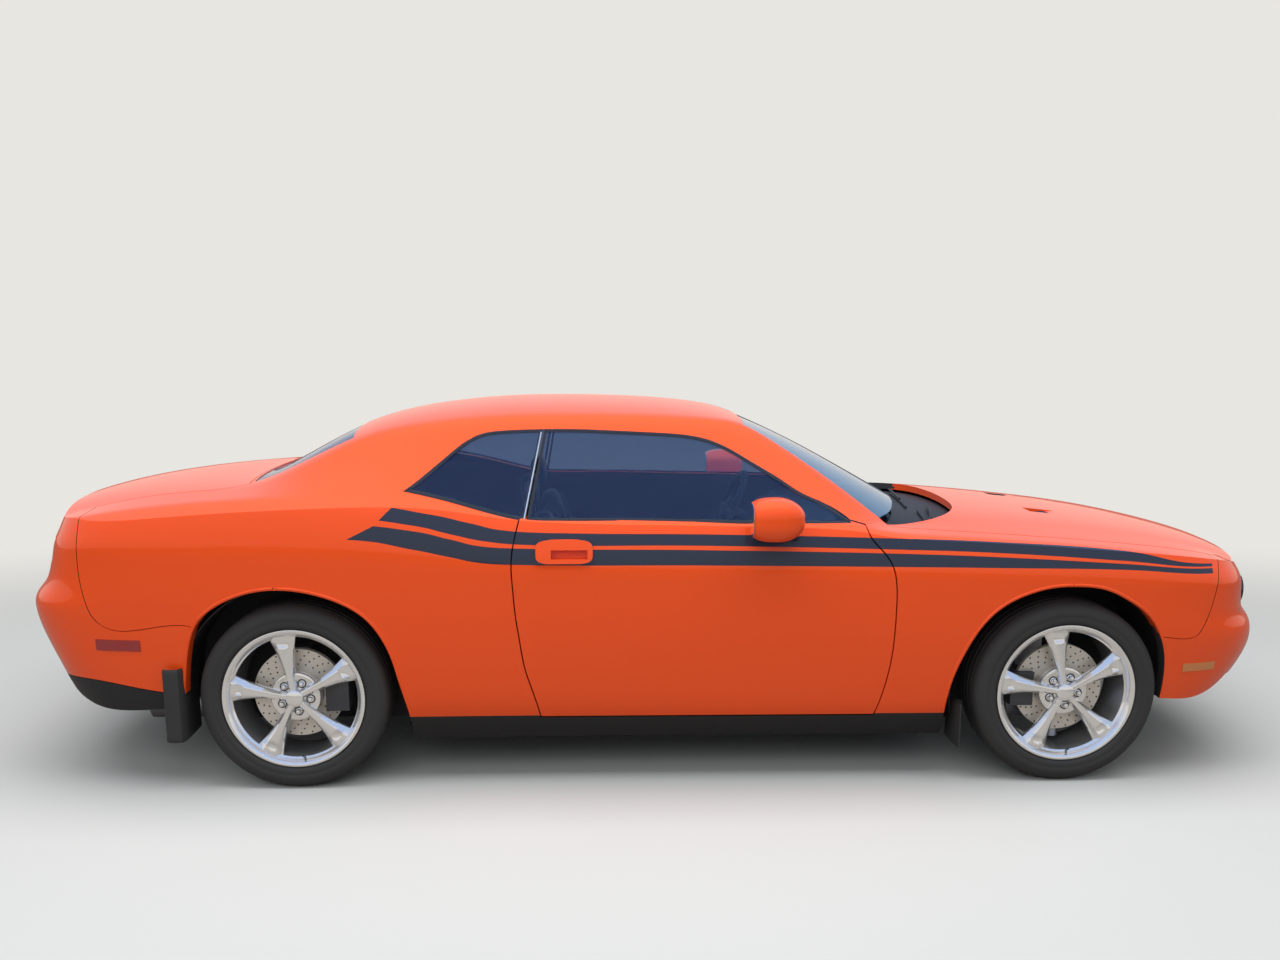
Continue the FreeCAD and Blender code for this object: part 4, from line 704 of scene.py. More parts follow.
@dataclass
class RoadWheel:
    """Tyre and five-spoke polished rim at one corner. Lengths are in millimetres, angles in degrees."""

    corner: str
    tyre_radius: float = 356.0
    tyre_half: float = 121.0
    groove_places: tuple[float, ...] = (62, 22)
    groove_depth: float = 7.0
    rim_radius: float = 268.0
    rim_half: float = 117.0
    spoke_turn: float = -9.5
    spokes: int = 5
    segments: int = 120
    nut_circle: float = 57.5
    nut_turn: float = 36.0
    pad: tuple = ((0.01, 50), (90, 50), (96, 58), (96, 72), (92, 78), (84, 80), (0.01, 80))
    cap: tuple = ((0.01, 78), (33, 78), (34, 102), (32, 108), (27, 111), (0.01, 112))
    nut: tuple = ((0.01, 78), (10.5, 78), (10.5, 95), (8, 100), (0.01, 102))
    # Dark ring round the foot of each nut: painted shade in its hole.
    seat: tuple = ((12.5, 78), (18, 78), (17.5, 81), (16, 81.5), (12.5, 80.5))
    disc: tuple = ((60, -8), (171, -8), (172, -6), (172, 18), (171, 20), (96, 20), (92, 44), (60, 46))
    drilling: tuple = ((0.01, 19.5), (3.6, 19.5), (3.4, 20.4), (0.01, 20.5))
    drilling_lines: int = 24
    drilling_rows: int = 4
    drilling_start: float = 112.0
    drilling_pitch: float = 17.0
    drilling_sweep: float = 5.0
    valve_line: tuple[Triple, Triple] = ((0, 88, 238), (0, 112, 226))
    valve_radius: float = 4.2
    valve_turn: float = 174.0

    def place(self, patch: Patch) -> Patch:
        """Moves a patch from the wheel's own axis to its corner. Returns the moved patch."""
        low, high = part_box(self.corner + "_tyre")
        side = Side.LEFT if self.corner.endswith("left") else Side.RIGHT
        return patch.on(side).moved(shift((low + high) / 2))

    def tyre(self) -> Patch:
        """Closed profile turned about the axle: bead, bulging ribbed wall, shoulder and grooved tread."""
        edge, half, top = self.rim_radius, self.tyre_half, self.tyre_radius
        upper = [(edge - 12, 106), (edge + 2, 108), (edge + 6, 115), (edge + 12, half - 1), (295, half),
                 (302, half - 1.5), (304, half), (322, half - 2), (336, half - 8), (346, half - 16),
                 (352, half - 26), (top - 1, half - 36)]
        low = top - self.groove_depth
        for place in self.groove_places:
            upper += [(top, place + 5), (low, place + 4), (low, place - 4), (top, place - 5)]
        return revolved(upper + [(radius, -offset) for radius, offset in upper[::-1]], self.segments)

    def rim(self) -> Patch:
        """Closed profile turned about the axle: outer lip, wide polished step, barrel and inner flange."""
        edge, half = self.rim_radius, self.rim_half
        outer = [(0, 6), (1, 1), (5, 0), (11, 1), (17, 6), (23, 20), (28, 26), (32, 30), (33, half)]
        inner = [(34, 10), (18, 2), (4, 0), (0, 4), (6, 9), (20, 12), (22, half)]
        runs = ((outer, 1), (inner, -1), ([(20, 12), (6, 9)], 1))
        profile = [(edge - drop, side * (half - step)) for points, side in runs for drop, step in points]
        return revolved(profile, self.segments)

    def spoke(self) -> Patch:
        """Spoke along +Z, flared at the rim, with bevelled sides and a dimple near its end.

        At share s of its length the half width is 17 + 3 s + 33 s^2.4 and the face lies 104 - 8 s out.
        """
        radius = np.linspace(26, 244, 36)[:, None]
        share = (radius - radius[0]) / (radius[-1] - radius[0])
        half_width = 17 + 3 * share + 33 * share ** 2.4
        across = np.array([-1, -1, -0.9, -0.5, -0.34, 0, 0.34, 0.5, 0.9, 1, 1, 0.5, -0.5])
        rise = np.array([-30, -16, -12, 0, 0.8, 1, 0.8, 0, -12, -16, -30, -36, -36])
        dimple = 5 * np.exp(-((share - 0.86) / 0.06) ** 4) * (np.abs(across) < 0.4) * (rise > 0)
        x = across * half_width
        z = np.sqrt(np.maximum(radius ** 2 - 0.6 * x ** 2 * share, 1))
        y = 104 - 8 * share + rise - dimple
        return Patch.grid(capped(np.stack([x, y, z], -1) * MM), wrap_columns=True)

    def around(self, patch: Patch, offset: float = 0.0) -> list[Patch]:
        """Repeats a patch round the axle, once for each spoke. Returns the copies."""
        return [patch.moved(turn(self.spoke_turn + offset + 360 * index / self.spokes, "Y"))
                for index in range(self.spokes)]

    def drilled_hole_shades(self) -> list[Patch]:
        """Dark discs at the ends of the disc's drilled holes, in rows that curve round it: painted shade
        inside the holes.
        """
        hole = revolved(self.drilling, 10)
        return [hole.moved(turn(360 * line / self.drilling_lines + row * self.drilling_sweep, "Y")
                           @ shift((0, 0, (self.drilling_start + row * self.drilling_pitch) * MM)))
                for line in range(self.drilling_lines) for row in range(self.drilling_rows)]

    def dress(self) -> None:
        """Builds the wheel's pieces; among its dark details are the valve near the bottom of the rim and the
        painted shade in the lug holes and the drilled holes.
        """
        name = self.corner
        nut_place = shift((0, 0, self.nut_circle * MM))
        nuts, seats = (self.around(revolved(profile, sides).moved(nut_place), self.nut_turn)
                       for profile, sides in ((self.nut, 6), (self.seat, 32)))
        valve = tube(np.linspace(*self.valve_line, 5) * MM, self.valve_radius * MM, 10)
        bright = [self.rim(), revolved(self.pad, 96), revolved(self.cap, 64)] + self.around(self.spoke())
        # Painted shade: dark rings round the nuts and dark discs in the disc's drilled holes stand for the
        # shade in those holes; the valve is black.
        dark = seats + self.drilled_hole_shades() + [valve.moved(turn(self.valve_turn, "Y"))]
        for part, patches, look, slot, sharp, node in (
                ("_road_tyre", [self.tyre()], "rubber", "tyre", 50.0, name + "_tyre"),
                ("_polished_rim", bright, "polished", "alloy", 40.0, name + "_wheel"),
                ("_lug_nuts", nuts, "chrome", "alloy", SHARP, ""),
                ("_hole_shade_and_valve", dark, "gloss_black", "alloy", SHARP, ""),
                ("_brake_disc", [revolved(self.disc, 96)], "disc", "alloy", SHARP, "")):
            build(name + part, self.place(Patch.join(patches)), look, slot, name + "_wheel", sharp, node)


SIDE_NODES = (*FIXED_PANELS, "left_door", "right_door", "left_door_glass", "right_door_glass",
              "quarter_windows")
WINDOW_TOP = ((-0.961, 1.134), (-0.882, 1.193), (-0.789, 1.270), (-0.723, 1.316), (-0.666, 1.337),
              (-0.599, 1.345), (-0.464, 1.350), (-0.309, 1.350), (-0.164, 1.344), (-0.019, 1.337),
              (0.107, 1.327), (0.194, 1.308), (0.270, 1.275), (0.365, 1.220), (0.459, 1.165), (0.522, 1.124),
              (0.618, 1.080), (0.726, 1.009))
WINDOW_BOTTOM = ((-0.961, 1.132), (-0.880, 1.116), (-0.784, 1.094), (-0.689, 1.068), (-0.594, 1.044),
                 (-0.537, 1.032), (-0.499, 1.028), (-0.310, 1.025), (-0.026, 1.021), (0.335, 1.013),
                 (0.714, 1.007))
DIVIDE = ((-0.449, 1.327), (-0.504, 1.039))


def divide_x(z: float | Array) -> Array:
    """Returns where the line between the two side windows lies at a height."""
    (top_x, top_z), (low_x, low_z) = DIVIDE
    return low_x + (z - low_z) * (top_x - low_x) / (top_z - low_z)


def window_edges(x: Array) -> list[Array]:
    """Returns the heights of a side window's bottom and top at some places."""
    return [smooth_line(line, x) for line in (WINDOW_BOTTOM, WINDOW_TOP)]


@dataclass
class SideTrim:
    """Lips and inner sheets of the wheel arches, and the mud flaps, on both sides."""

    skin: Skin = field(default_factory=lambda: Skin(SIDE_NODES))
    lip_radius: float = 0.006
    lip_out: float = 1.1
    lip_sunk: float = 0.45
    lip_foot: float = 0.29
    sheet_out: float = 0.012
    sheet_in: float = 0.03
    sheet_thickness: float = 0.003
    sheet_depths: tuple[float, float] = (0.48, 0.645)
    flap_thickness: float = 0.005
    flap_levels: tuple = ((0, 0, 0.96), (0, 0.004, 1.0), (0, 0.02, 1.0), (1, -0.02, 1.0), (1, -0.004, 1.0),
                          (1, 0, 0.96))
    arches: tuple = (
        ((1.097, 0.200), (1.100, 0.337), (1.118, 0.425), (1.152, 0.518), (1.207, 0.620), (1.276, 0.695),
         (1.365, 0.745), (1.474, 0.775), (1.565, 0.779), (1.668, 0.766), (1.763, 0.723), (1.842, 0.667),
         (1.899, 0.590), (1.932, 0.500), (1.942, 0.405), (1.940, 0.300)),
        ((-1.795, 0.200), (-1.790, 0.400), (-1.774, 0.507), (-1.754, 0.589), (-1.719, 0.660),
         (-1.657, 0.715), (-1.576, 0.755), (-1.477, 0.779), (-1.380, 0.780), (-1.283, 0.762),
         (-1.186, 0.726), (-1.110, 0.675), (-1.054, 0.603), (-1.018, 0.521), (-0.992, 0.417),
         (-0.965, 0.307), (-0.955, 0.200)))
    flaps: tuple = (
        (((1.146, 0.935), (1.143, 0.90), (1.140, 0.85), (1.139, 0.80), (1.140, 0.755)), 0.146, 0.318),
        (((-1.860, 0.945), (-1.848, 0.952), (-1.825, 0.955), (-1.805, 0.950), (-1.797, 0.935),
          (-1.795, 0.90), (-1.796, 0.85), (-1.797, 0.80), (-1.798, 0.74)), 0.200, 0.482))

    def curve(self, points: tuple) -> tuple[Array, Array]:
        """Smooth line through an arch's points. Returns it and its outward direction."""
        line = np.array(points)
        share = np.linspace(0, 1, 120)
        steps = np.concatenate([[0], np.cumsum(np.linalg.norm(np.diff(line, axis=0), axis=1))])
        steps /= steps[-1]
        curve = np.stack([smooth_line(np.stack([steps, values], 1), share) for values in line.T], 1)
        outward = square_to(curve)
        return curve, outward * np.sign((outward * (curve - curve.mean(0))).sum(1).mean())

    def lip(self, points: tuple, side: Side) -> Patch:
        """Rounded lip along a wheel arch: its outline moved outwards and laid on the skin."""
        curve, outward = self.curve(points)
        line = curve + outward * self.lip_radius * self.lip_out
        laid = self.skin.beside(line, side, -self.lip_radius * self.lip_sunk)
        return tube(laid[laid[:, 2] > self.lip_foot], self.lip_radius, 10)

    def sheet(self, points: tuple, inner_y: float, side: Side) -> Patch:
        """Sheet that runs inwards from a wheel arch: the arch's curve carried along Y."""
        curve, outward = self.curve(points)
        shell = self.skin.beside(curve + outward * self.sheet_out, side, 0.0)
        near = shell - (0, side.value * self.sheet_in, 0)
        far = near * (1, 0, 1) + (0, side.value * inner_y, 0)
        thick = raised(outward[:len(shell)]) * self.sheet_thickness
        return Patch.grid(np.stack([near, far, far + thick, near + thick]), wrap_rows=True)

    def flap(self, plan: tuple, low: float, high: float) -> Patch:
        """Mud flap: a plan line of (x, y) carried from one height to another, open at its hidden top."""
        line = np.array(plan)
        across = square_to(line) * self.flap_thickness / 2
        ring = np.concatenate([line + across, (line - across)[::-1]])
        middle = ring.mean(0)
        rings = [np.insert((ring - middle) * size + middle, 2, (low, high)[end] + step, 1)
                 for end, step, size in self.flap_levels]
        return Patch.grid(capped(np.stack(rings))[:-1], wrap_columns=True)

    def dress(self) -> None:
        """Builds the trim of both sides."""
        for side in Side:
            name = side.name.lower()
            lips = [self.lip(points, side) for points in self.arches]
            sheets = [self.sheet(*arch, side) for arch in zip(self.arches, self.sheet_depths)]
            flaps = [self.flap(*flap).on(side) for flap in self.flaps]
            build(name + "_arch_lips", Patch.join(lips), "body", "body_paint")
            build(name + "_arch_sheets", Patch.join(sheets), "under", "black_plastic")
            build(name + "_mud_flaps", Patch.join(flaps), "rubber", "black_plastic", node="mud_flaps")


@dataclass
class Glazing:
    """Smooth panes in place of the CAD glass, the rubber round the side panes and the strip between them."""

    thickness: float = 0.005
    columns: int = 64
    rows: int = 28
    margin: float = 0.0055
    lowest: float = 0.0005
    rounds: int = 8
    least: float = 0.0004
    seal_width: float = 0.013
    seal_inset: float = 0.0012
    seal_steepest: float = 2.2
    seal_overrun: float = 0.008
    seal_heights: tuple[float, float] = (1.028, 1.349)
    seal_section: tuple = ((0.0, -0.004), (0.0, 0.0045), (0.25, 0.0055), (0.8, 0.0045), (1.0, 0.002),
                           (1.0, -0.004))
    divider_seal_width: float = 0.011
    divider_height: float = 1.19
    divider_ends: tuple[float, float] = (0.012, -0.004)
    divider_back: float = 0.007
    divider_radius: float = 0.0032
    ends: tuple[float, float] = (0.712, -0.955)
    gaps: tuple[float, float] = (0.003, -0.004)
    screen_base: tuple = ((0.0, 1.010), (0.220, 1.000), (0.450, 0.965), (0.640, 0.905), (0.745, 0.846))
    screen_head: tuple = ((0.0, 0.352), (0.300, 0.345), (0.590, 0.330))
    screen_side: tuple = ((0.330, 0.590), (0.520, 0.640), (0.700, 0.692), (0.846, 0.745))
    screen_trim: float = 0.004
    screen_inward: Triple = (-0.5, 0, -1)

    def window(self, gap: float, end: float, side: Side) -> Array:
        """Grid of points between the opening's edges, and between the divider and the window's end."""
        u, v = np.meshgrid(np.linspace(0, 1, self.columns), np.linspace(0, 1, self.rows))
        z = self.divider_height + 0 * u
        for _ in range(self.rounds):
            start = divide_x(z) + gap
            x = start + (end - start) * u
            low, high = window_edges(x)
            z = low + self.margin + np.maximum(high - low - 2 * self.margin, self.lowest) * v
        return np.stack([x, 0 * x + side.value * BESIDE_CAR, z], -1)

    def seal(self, lay: Callable, gap: float, end: float) -> Patch:
        """Rubber round a side pane: strips along its bottom, its top and the divider, over the glass."""
        shares, stands = np.array(self.seal_section).T[:, :, None]
        strips = []
        for edge, toward in ((0, 1.0), (1, -1.0)):
            start = divide_x(self.seal_heights[edge]) + gap
            x = np.linspace(start, end + self.seal_overrun * np.sign(end), 150)
            low, high = heights = window_edges(x)
            outer = heights[edge]
            reach = self.seal_width * np.minimum(np.hypot(1, np.gradient(outer, x)), self.seal_steepest)
            reach = np.minimum(reach, np.maximum((high - low) / 2, self.least))
            z = outer + toward * (self.seal_inset + np.maximum(reach - self.seal_inset, self.least) * shares)
            strips.append((x + 0 * z, z))
        z = np.linspace(*window_edges(divide_x(self.divider_height)), 40)
        x = divide_x(z) + gap + np.sign(gap) * self.divider_seal_width * shares
        strips.append((x, z + 0 * x))
        laid = [lay(np.stack([x, 0 * x, z], -1), stands) for x, z in strips]
        return Patch.join([Patch.grid(points, wrap_rows=True) for points in laid])

    def slab(self, face: Array, inward: Triple) -> Patch:
        """Gives a grid of points its thickness. Returns the closed pane."""
        back = face + np.array(inward) * self.thickness
        shell = np.concatenate([face, back[::-1]])
        edges = [Patch.grid(np.stack([face[:, index], back[:, index]])) for index in (0, -1)]
        return Patch.join([Patch.grid(shell, wrap_rows=True)] + edges)

    def screen(self) -> Patch:
        """Windshield between its base and head curves: at share v the half width follows the side curve."""
        trim = self.screen_trim
        u, v = np.meshgrid(np.linspace(-1, 1, self.columns), np.linspace(trim, 1 - trim, self.rows))
        (base_half, base_x), (head_half, head_x) = self.screen_base[-1], self.screen_head[-1]
        base = smooth_line(self.screen_base, np.abs(u) * base_half)
        head = smooth_line(self.screen_head, np.abs(u) * head_half)
        x = base + (head - base) * v
        half = smooth_line(self.screen_side, base_x + (head_x - base_x) * v) * (1 - trim)
        grid = np.stack([x, u * half, 0 * x + ABOVE_CAR], -1)
        lay = Skin(("windshield",)).fitted(grid.reshape(-1, 3), 2, even=True)
        return self.slab(lay(grid), self.screen_inward)

    def rear(self) -> None:
        """Stands a smooth tinted copy in for the rear window."""
        node = "rear_window"
        build(node + "_skin", cad_patch(node), "window", "glass", sharp=40.0, node=node, panel=True)

    def dress(self) -> None:
        """Builds the panes, the seals and the strips."""
        for side in Side:
            name = side.name.lower()
            places = (("door", name + "_door_glass", name + "_door"), ("quarter", "quarter_windows", "body"))
            for (part, node, body), gap, end in zip(places, self.gaps, self.ends):
                grid = self.window(gap, end, side)
                lay = Skin((node,)).fitted(grid.reshape(-1, 3), 1)
                pane = self.slab(lay(grid), (0, -side.value, 0))
                build(f"{name}_{part}_pane", pane, "window", "glass", body, GLASS_SHARP, node)
                seal = self.seal(lay, gap, end)
                build(f"{name}_{part}_window_seal", seal, "gloss_black", "black_plastic", body)
            z = np.linspace(*[height + step for (_, height), step in zip(DIVIDE, self.divider_ends)], 24)
            line = lay(np.stack([divide_x(z) - self.divider_back, 0 * z, z], -1), self.margin)
            build(name + "_pane_divider", tube(line, self.divider_radius, 8), "polished", "black_plastic")
        build("windshield_pane", self.screen(), "screen", "glass", sharp=GLASS_SHARP, node="windshield")
        self.rear()


@dataclass
class Lamps:
    """Bowls and bulbs of the headlamps, and the rings round their lenses. Profiles are in millimetres."""

    places: tuple[float, ...] = (0.61, 0.47, -0.47, -0.61)
    height: float = 0.702
    ahead: float = 3.0
    yaw: float = 9.0
    bowl: tuple = ((50, -3), (46, -10), (36, -19), (22, -25), (10, -27), (10, -30), (24, -28), (40, -22),
                   (50, -12), (53, -3))
    bulb: tuple = ((0.01, -28), (13, -26), (15, -18), (13, -11), (8, -8), (0.01, -7))
    ring: tuple = ((50, 1), (52, 5), (55, 6), (58, 4), (59, 0), (58, -6), (52, -6))

    def dress(self) -> None:
        """Builds the lamps' insides and rings, turned about the X axis."""
        starts = np.array([(self.ahead, y, self.height) for y in self.places])
        faces = Skin(("headlamps",)).laid(starts, (-1, 0, 0), 0.0)
        inside = Patch.join([revolved(self.bowl, 64), revolved(self.bulb, 32)]).moved(turn(-90, "Z"))
        ring = revolved(self.ring, 64).moved(turn(-90, "Z"))
        for name, shape, look, slot in (("headlamp_bowls", inside, "chrome", "lamp_clear"),
                                        ("headlamp_rings", ring, "gloss_black", "black_plastic")):
            copies = [shape.moved(shift(face) @ turn(math.copysign(self.yaw, y), "Z"))
                      for y, face in zip(self.places, faces)]
            build(name, Patch.join(copies), look, slot)


@dataclass
class Fittings:
    """Dark floors of the hood's two scoops, dark discs of painted shade in the exhaust tips, and the wipers.
    """

    ramp: tuple = ((1.578, 0.9612), (1.62, 0.9642), (1.668, 0.9678))
    ramp_y: float = 0.28
    ramp_half: float = 0.050
    ramp_thickness: float = 0.0015
    bore: Triple = (-2.27296, 0.46748, 0.27789)
    bore_axis: Triple = (-0.9425, 0.1833, 0.2796)
    bore_radius: float = 0.0306
    bore_half: float = 0.003
    arms: tuple = (((1.15, 0.42), (1.105, 0.10), (1.085, -0.06)),
                   ((1.165, -0.22), (1.115, -0.48), (1.045, -0.66)))
    arm_radius: float = 0.005
    arm_stand: float = 0.014
    blade_place: int = 24
    blade_reach: tuple[float, float] = (0.026, 0.26)
    blade_radius: float = 0.0045
    blade_stand: float = 0.006

    def floor(self, side: Side) -> Patch:
        """Slab along a scoop's ramp: its line of (x, z) carried along Y."""
        y = side.value * self.ramp_y + np.linspace(-self.ramp_half, self.ramp_half, 9)
        face = np.stack([np.stack([x + 0 * y, y, z + 0 * y], -1) for x, z in self.ramp])
        return Patch.grid(np.concatenate([face, face[::-1] + (0, 0, self.ramp_thickness)]), wrap_rows=True)

    def disc(self, side: Side) -> Patch:
        """Short closed dark cylinder across one tip's bore: painted shade inside the pipe."""
        centre, axis = np.array([self.bore, self.bore_axis]) * (1, side.value, 1)
        ends = np.stack([centre - axis * self.bore_half, centre + axis * self.bore_half])
        return tube(ends, self.bore_radius, 32)

    def wipers(self) -> list[Patch]:
        """Two arms with their blades, parked at the foot of the windshield and laid on it from above."""
        skin = Skin(("windshield", "cowl"))
        share = np.linspace(0, 1, 30)
        pieces = []
        for points in self.arms:
            curves = [tuple(zip((0.0, 0.5, 1.0), values)) for values in zip(*points)]
            line = np.stack([smooth_line(curve, share) for curve in curves], 1)
            blade = line[self.blade_place] + np.linspace(-1, 1, 40)[:, None] * self.blade_reach
            pieces += [tube(skin.above(line, self.arm_stand), self.arm_radius, 8),
                       tube(skin.above(blade, self.blade_stand), self.blade_radius, 6)]
        return pieces

    def dress(self) -> None:
        """Builds the fittings."""
        build("scoop_floors", Patch.join([self.floor(side) for side in Side]), "black", "body_paint", "hood")
        # Painted shade: the dark discs stand for the shade deep in the exhaust tips.
        build("exhaust_bore_shade", Patch.join([self.disc(side) for side in Side]), "black", "steel")
        build("wiper_arms_and_blades", Patch.join(self.wipers()), "black", "black_plastic")


def pillow(half: Triple, power: float, seams: tuple[float, ...] = (), rings: int = 40) -> Patch:
    """Crowned closed cushion: x = a c(u) c(v), y = b c(u) s(v), z = h s(u), with powers of each.

    Args:
        half: Half sizes along X, Y and Z in metres.
        power: Power of the sines and cosines; a smaller one gives a squarer cushion.
        seams: Places of sewn channels along Y, as shares of the half width.
        rings: Steps from bottom to top.

    Returns:
        The cushion.
    """
    columns, seam_depth, seam_width, crowning = 72, 0.008, 0.045, 0.10

    def powered(value: Array) -> Array:
        """Returns the power of a value, with the value's sign."""
        return np.sign(value) * np.abs(value) ** power

    u, v = np.meshgrid(np.linspace(-np.pi / 2, np.pi / 2, rings),
                       np.linspace(-np.pi, np.pi, columns, endpoint=False), indexing="ij")
    level, z = powered(np.cos(u)), powered(np.sin(u))
    x, y = level * powered(np.cos(v)), level * powered(np.sin(v))
    channel = sum((np.exp(-((y - place) / seam_width) ** 2) for place in seams), 0 * y)
    height = z * half[2] * (1 - crowning * (x ** 2 + y ** 2) / 2) - channel * seam_depth * np.sign(z)
    return Patch.grid(np.stack([x * half[0], y * half[1], height], -1), wrap_columns=True)


@dataclass(frozen=True)
class Pad:
    """One cushion of a seat, leaning back by an angle in degrees. One beside the middle has a twin."""

    half: Triple
    centre: Triple
    lean: float
    power: float = 0.42
    seams: tuple[float, ...] = ()

    def patches(self) -> list[Patch]:
        """Builds the cushion and its twin. Returns them."""
        x, y, z = self.centre
        shape, places = pillow(self.half, self.power, self.seams), (y, -y) if y else (y,)
        return [shape.moved(shift((x, place, z)) @ turn(-self.lean, "Y")) for place in places]


@dataclass
class Seats:
    """Padded front seats with bolsters and headrests, and a rear bench."""

    place: float = 0.38
    sharp: float = 60.0
    post: tuple[Triple, Triple] = ((-0.512, 0, 0.965), (-0.517, 0, 1.06))
    post_y: float = 0.055
    post_radius: float = 0.006
    front: tuple = (
        ("front_seat_cushions", (Pad((0.255, 0.165, 0.062), (0.02, 0, 0.375), 3, seams=(-0.45, 0.0, 0.45)),
                                 Pad((0.262, 0.05, 0.07), (0.02, 0.2, 0.385), 3, 0.6))),
        ("front_seat_backs", (Pad((0.05, 0.165, 0.31), (-0.405, 0, 0.69), 12, seams=(-0.45, 0.0, 0.45)),
                              Pad((0.06, 0.045, 0.30), (-0.39, 0.2, 0.67), 12, 0.6))),
        ("front_headrests", (Pad((0.036, 0.112, 0.066), (-0.515, 0, 1.083), 4, 0.55),)))
    rear: tuple = (
        ("rear_bench_cushions", (Pad((0.225, 0.26, 0.07), (-0.83, 0.33, 0.46), 6, seams=(-0.4, 0.4)),)),
        ("rear_bench_backs", (Pad((0.05, 0.26, 0.215), (-1.16, 0.33, 0.70), 22, seams=(-0.4, 0.4)),)))

    def both(self, patch: Patch) -> Patch:
        """Puts a patch on both front seats. Returns the pair."""
        return Patch.join([patch.moved(shift((0, side.value * self.place, 0))) for side in Side])

    def dress(self) -> None:
        """Builds the seats, and two steel posts under each headrest."""
        for pieces, node in ((self.front, "front_seats"), (self.rear, "rear_seat")):
            for name, pads in pieces:
                shape = Patch.join([patch for pad in pads for patch in pad.patches()])
                if node == "front_seats":
                    shape = self.both(shape)
                piece = build(name, shape, "leather", "seat_leather", sharp=self.sharp)
                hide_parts(node)
        line = np.linspace(*self.post, 6)
        posts = [tube(line + (0, side.value * self.post_y, 0), self.post_radius, 10) for side in Side]
        build("headrest_posts", self.both(Patch.join(posts)), "chrome", "steel")


@dataclass
class Mirrors:
    """Door mirrors: a rounded painted shell on a foot, with a glass on its rear face."""

    centre: Triple = (0.405, 1.02, 1.047)
    half: Triple = (0.106, 0.098, 0.080)
    rear: float = -0.8
    narrowing: float = 0.22
    foot_line: tuple = ((0.50, 0.885, 0.955), (0.485, 0.945, 0.985), (0.43, 0.985, 1.03))
    foot_radius: float = 0.022
    glass_half: float = 0.0025
    glass_share: float = 0.78
    glass_gap: float = 0.002

    def shell(self) -> Patch:
        """Cushion shape, narrower towards its nose and flat at its rear."""
        shape = pillow(self.half, 0.68)
        x = shape.points[:, :1] / self.half[0]
        narrow = 1 - self.narrowing * np.clip(x, 0, 1) ** 2
        points = np.hstack([np.maximum(x, self.rear) * self.half[0], shape.points[:, 1:] * narrow])
        return Patch(points, shape.quads).moved(shift(self.centre))

    def foot(self) -> Patch:
        """Curved foot from the door's shoulder up into the shell: a smooth line of three control points."""
        share = np.linspace(0, 1, 16)[:, None]
        start, bend, end = np.array(self.foot_line)
        line = (1 - share) ** 2 * start + 2 * share * (1 - share) * bend + share ** 2 * end
        return tube(line, self.foot_radius, 16)

    def glass(self) -> Patch:
        """Mirror glass just behind the shell's rear face: a rounded plate."""
        depth, width, height = self.half
        plate = pillow((self.glass_half, width * self.glass_share, height * self.glass_share), 0.6, rings=16)
        x, y, z = self.centre
        return plate.moved(shift((x + self.rear * depth - self.glass_gap, y, z)))

    def dress(self) -> None:
        """Builds both mirrors."""
        for side in Side:
            name, door = side.name.lower() + "_mirror", side.name.lower() + "_door"
            shell = Patch.join([self.shell(), self.foot()]).on(side)
            build(name + "_shell", shell, "body", "body_paint", door, GLASS_SHARP, name)
            build(name + "_glass", self.glass().on(side), "chrome", "glass", door)


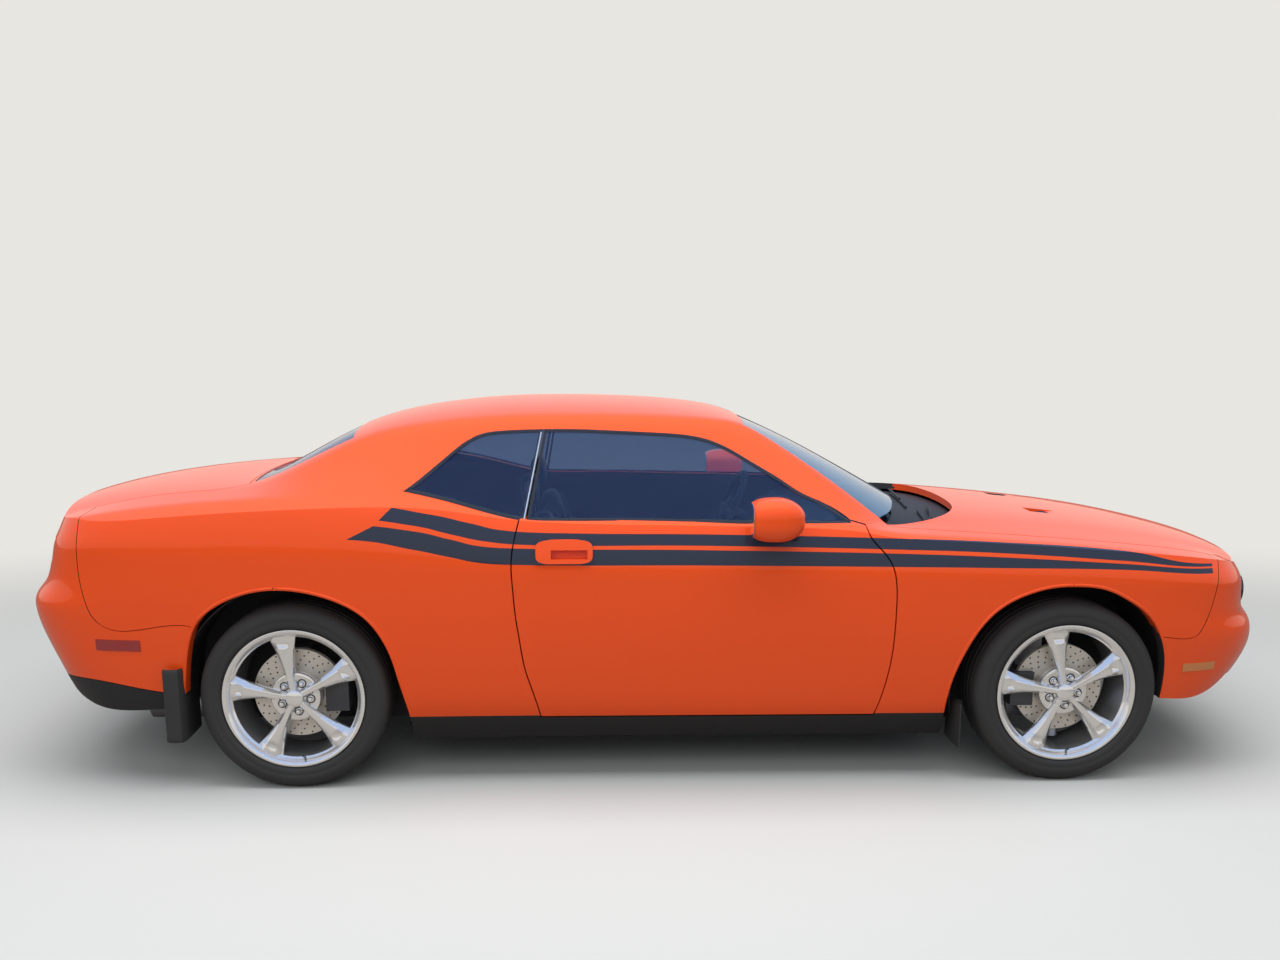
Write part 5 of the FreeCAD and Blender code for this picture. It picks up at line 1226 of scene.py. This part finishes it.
@dataclass
class Studio:
    """Floor, light and the camera at the photograph's place."""

    camera_place: Triple = (-0.233, -5.510, 1.691)
    yaw: float = 1.87
    pitch: float = -11.34
    roll: float = -0.07
    focal_pixels: float = 1254.0
    frame_width: float = 1280.0
    axis_drop_pixels: float = 110.0
    sensor: float = 36.0
    farthest: float = 200.0
    floor_half: float = 60.0
    floor_tones: tuple[Triple, Triple] = ((0.515, 0.540, 0.555), (0.530, 0.555, 0.570))
    floor_bounce: Triple = (0.30, 0.29, 0.28)
    fade_shape: Triple = (0.7, 1.0, 0.0)
    fade: tuple[float, float] = (2.2, 6.0)
    backdrop: Triple = (0.807, 0.791, 0.753)
    horizon: Triple = (0.80, 0.74, 0.66)
    sky: Triple = (0.36, 0.50, 0.80)
    sky_level: float = 0.55
    fill: Triple = (0.40, 0.40, 0.39)
    warm: Triple = (1.0, 0.985, 0.95)
    lamps: tuple = (("overhead", (0, -1.0, 6.0), (0, 0, 0), (9, 5), 540),
                    ("near_side", (-2.0, -8.0, 5.0), (0, 0, 0.6), (8, 4), 230))

    def camera(self) -> None:
        """Places the camera: its axis is turned by yaw towards +X, then pitched, then rolled."""
        data = bpy.data.cameras.new("camera")
        data.sensor_width = self.sensor
        data.lens = self.focal_pixels / self.frame_width * self.sensor
        data.shift_y = self.axis_drop_pixels / self.frame_width
        data.clip_end = self.farthest
        camera = bpy.data.objects.new("camera", data)
        bpy.context.collection.objects.link(camera)
        camera.matrix_world = (shift(self.camera_place) @ turn(-self.yaw, "Z") @ turn(90 + self.pitch, "X")
                               @ turn(-self.roll, "Z"))
        bpy.context.scene.camera = camera

    def floor(self) -> None:
        """Lays a wide floor that fades to the backdrop for the camera, away from the car's shadow."""
        half = self.floor_half
        mesh = bpy.data.meshes.new("floor")
        mesh.from_pydata([(-half, -half, 0), (half, -half, 0), (half, half, 0), (-half, half, 0)], [],
                         [(0, 1, 2, 3)])
        floor = bpy.data.objects.new("floor", mesh)
        bpy.context.collection.objects.link(floor)
        shader = Shader("floor")
        seen = shader.add("LightPath").outputs["Is Camera Ray"]
        pale = shader.mix(shader.noise(0.4), *self.floor_tones)
        base = shader.mix(seen, self.floor_bounce, pale)
        shader.set(Base_Color=base, Roughness=0.8, Specular_IOR_Level=0.0)
        squeezed = shader.add("VectorMath", {0: shader.position(), 1: self.fade_shape}, operation="MULTIPLY")
        reach = shader.add("VectorMath", {0: squeezed.outputs[0]}, operation="LENGTH").outputs["Value"]
        near, far = self.fade
        fade = shader.add("MapRange", {"From Min": near, "From Max": far, "Value": reach},
                          interpolation_type="SMOOTHSTEP").outputs["Result"]
        glow = shader.add("Emission", {"Color": (*self.backdrop, 1)}).outputs[0]
        blend = shader.add("MixShader", {0: shader.math("MULTIPLY", fade, seen), 1: shader.shader.outputs[0],
                                         2: glow})
        shader.feed(shader.tree.nodes["Material Output"].inputs["Surface"], blend.outputs[0])
        mesh.materials.append(shader.material)

    def lamp(self, name: str, place: Triple, target: Triple, size: tuple, power: float) -> None:
        """Hangs a soft rectangular lamp that looks at a target."""
        data = bpy.data.lights.new(name, "AREA")
        data.shape = "RECTANGLE"
        data.size, data.size_y = size
        data.energy = power
        data.color = self.warm
        lamp = bpy.data.objects.new(name, data)
        bpy.context.collection.objects.link(lamp)
        lamp.visible_glossy = False
        lamp.location = place
        lamp.rotation_euler = (Vector(target) - Vector(place)).to_track_quat("-Z", "Y").to_euler()

    def world(self) -> None:
        """Builds the world: a backdrop for the camera, a fill for diffuse light, a sky for reflections."""
        world = bpy.data.worlds.new("studio")
        world.use_nodes = True
        nodes = Nodes(world.node_tree)
        path = nodes.add("LightPath").outputs
        split = nodes.add("SeparateXYZ", {0: nodes.add("TexCoord").outputs["Generated"]})
        ramp = nodes.add("ValToRGB", {0: split.outputs["Z"]})
        low, high = ramp.color_ramp.elements
        low.color, high.color = (*self.horizon, 1), (*self.sky, 1)
        high.position = self.sky_level
        light = nodes.mix(path["Is Diffuse Ray"], ramp.outputs["Color"], self.fill)
        shown = nodes.mix(path["Is Camera Ray"], light, self.backdrop)
        nodes.feed(nodes.tree.nodes["Background"].inputs["Color"], shown)
        bpy.context.scene.world = world

    def build(self) -> None:
        """Builds the studio."""
        self.camera()
        self.floor()
        self.world()
        for lamp in self.lamps:
            self.lamp(*lamp)
        bpy.context.scene.view_settings.view_transform = "Standard"


def main() -> None:
    """Builds the car's looks in order, then the studio."""
    logging.basicConfig(level=logging.INFO)
    Bodywork().dress()
    for corner in ("front_left", "front_right", "rear_left", "rear_right"):
        RoadWheel(corner).dress()
    for work in (SideTrim, Glazing, Lamps, Fittings, Mirrors, Seats):
        work().dress()
    Studio().build()


if __name__ == "__main__":
    main()
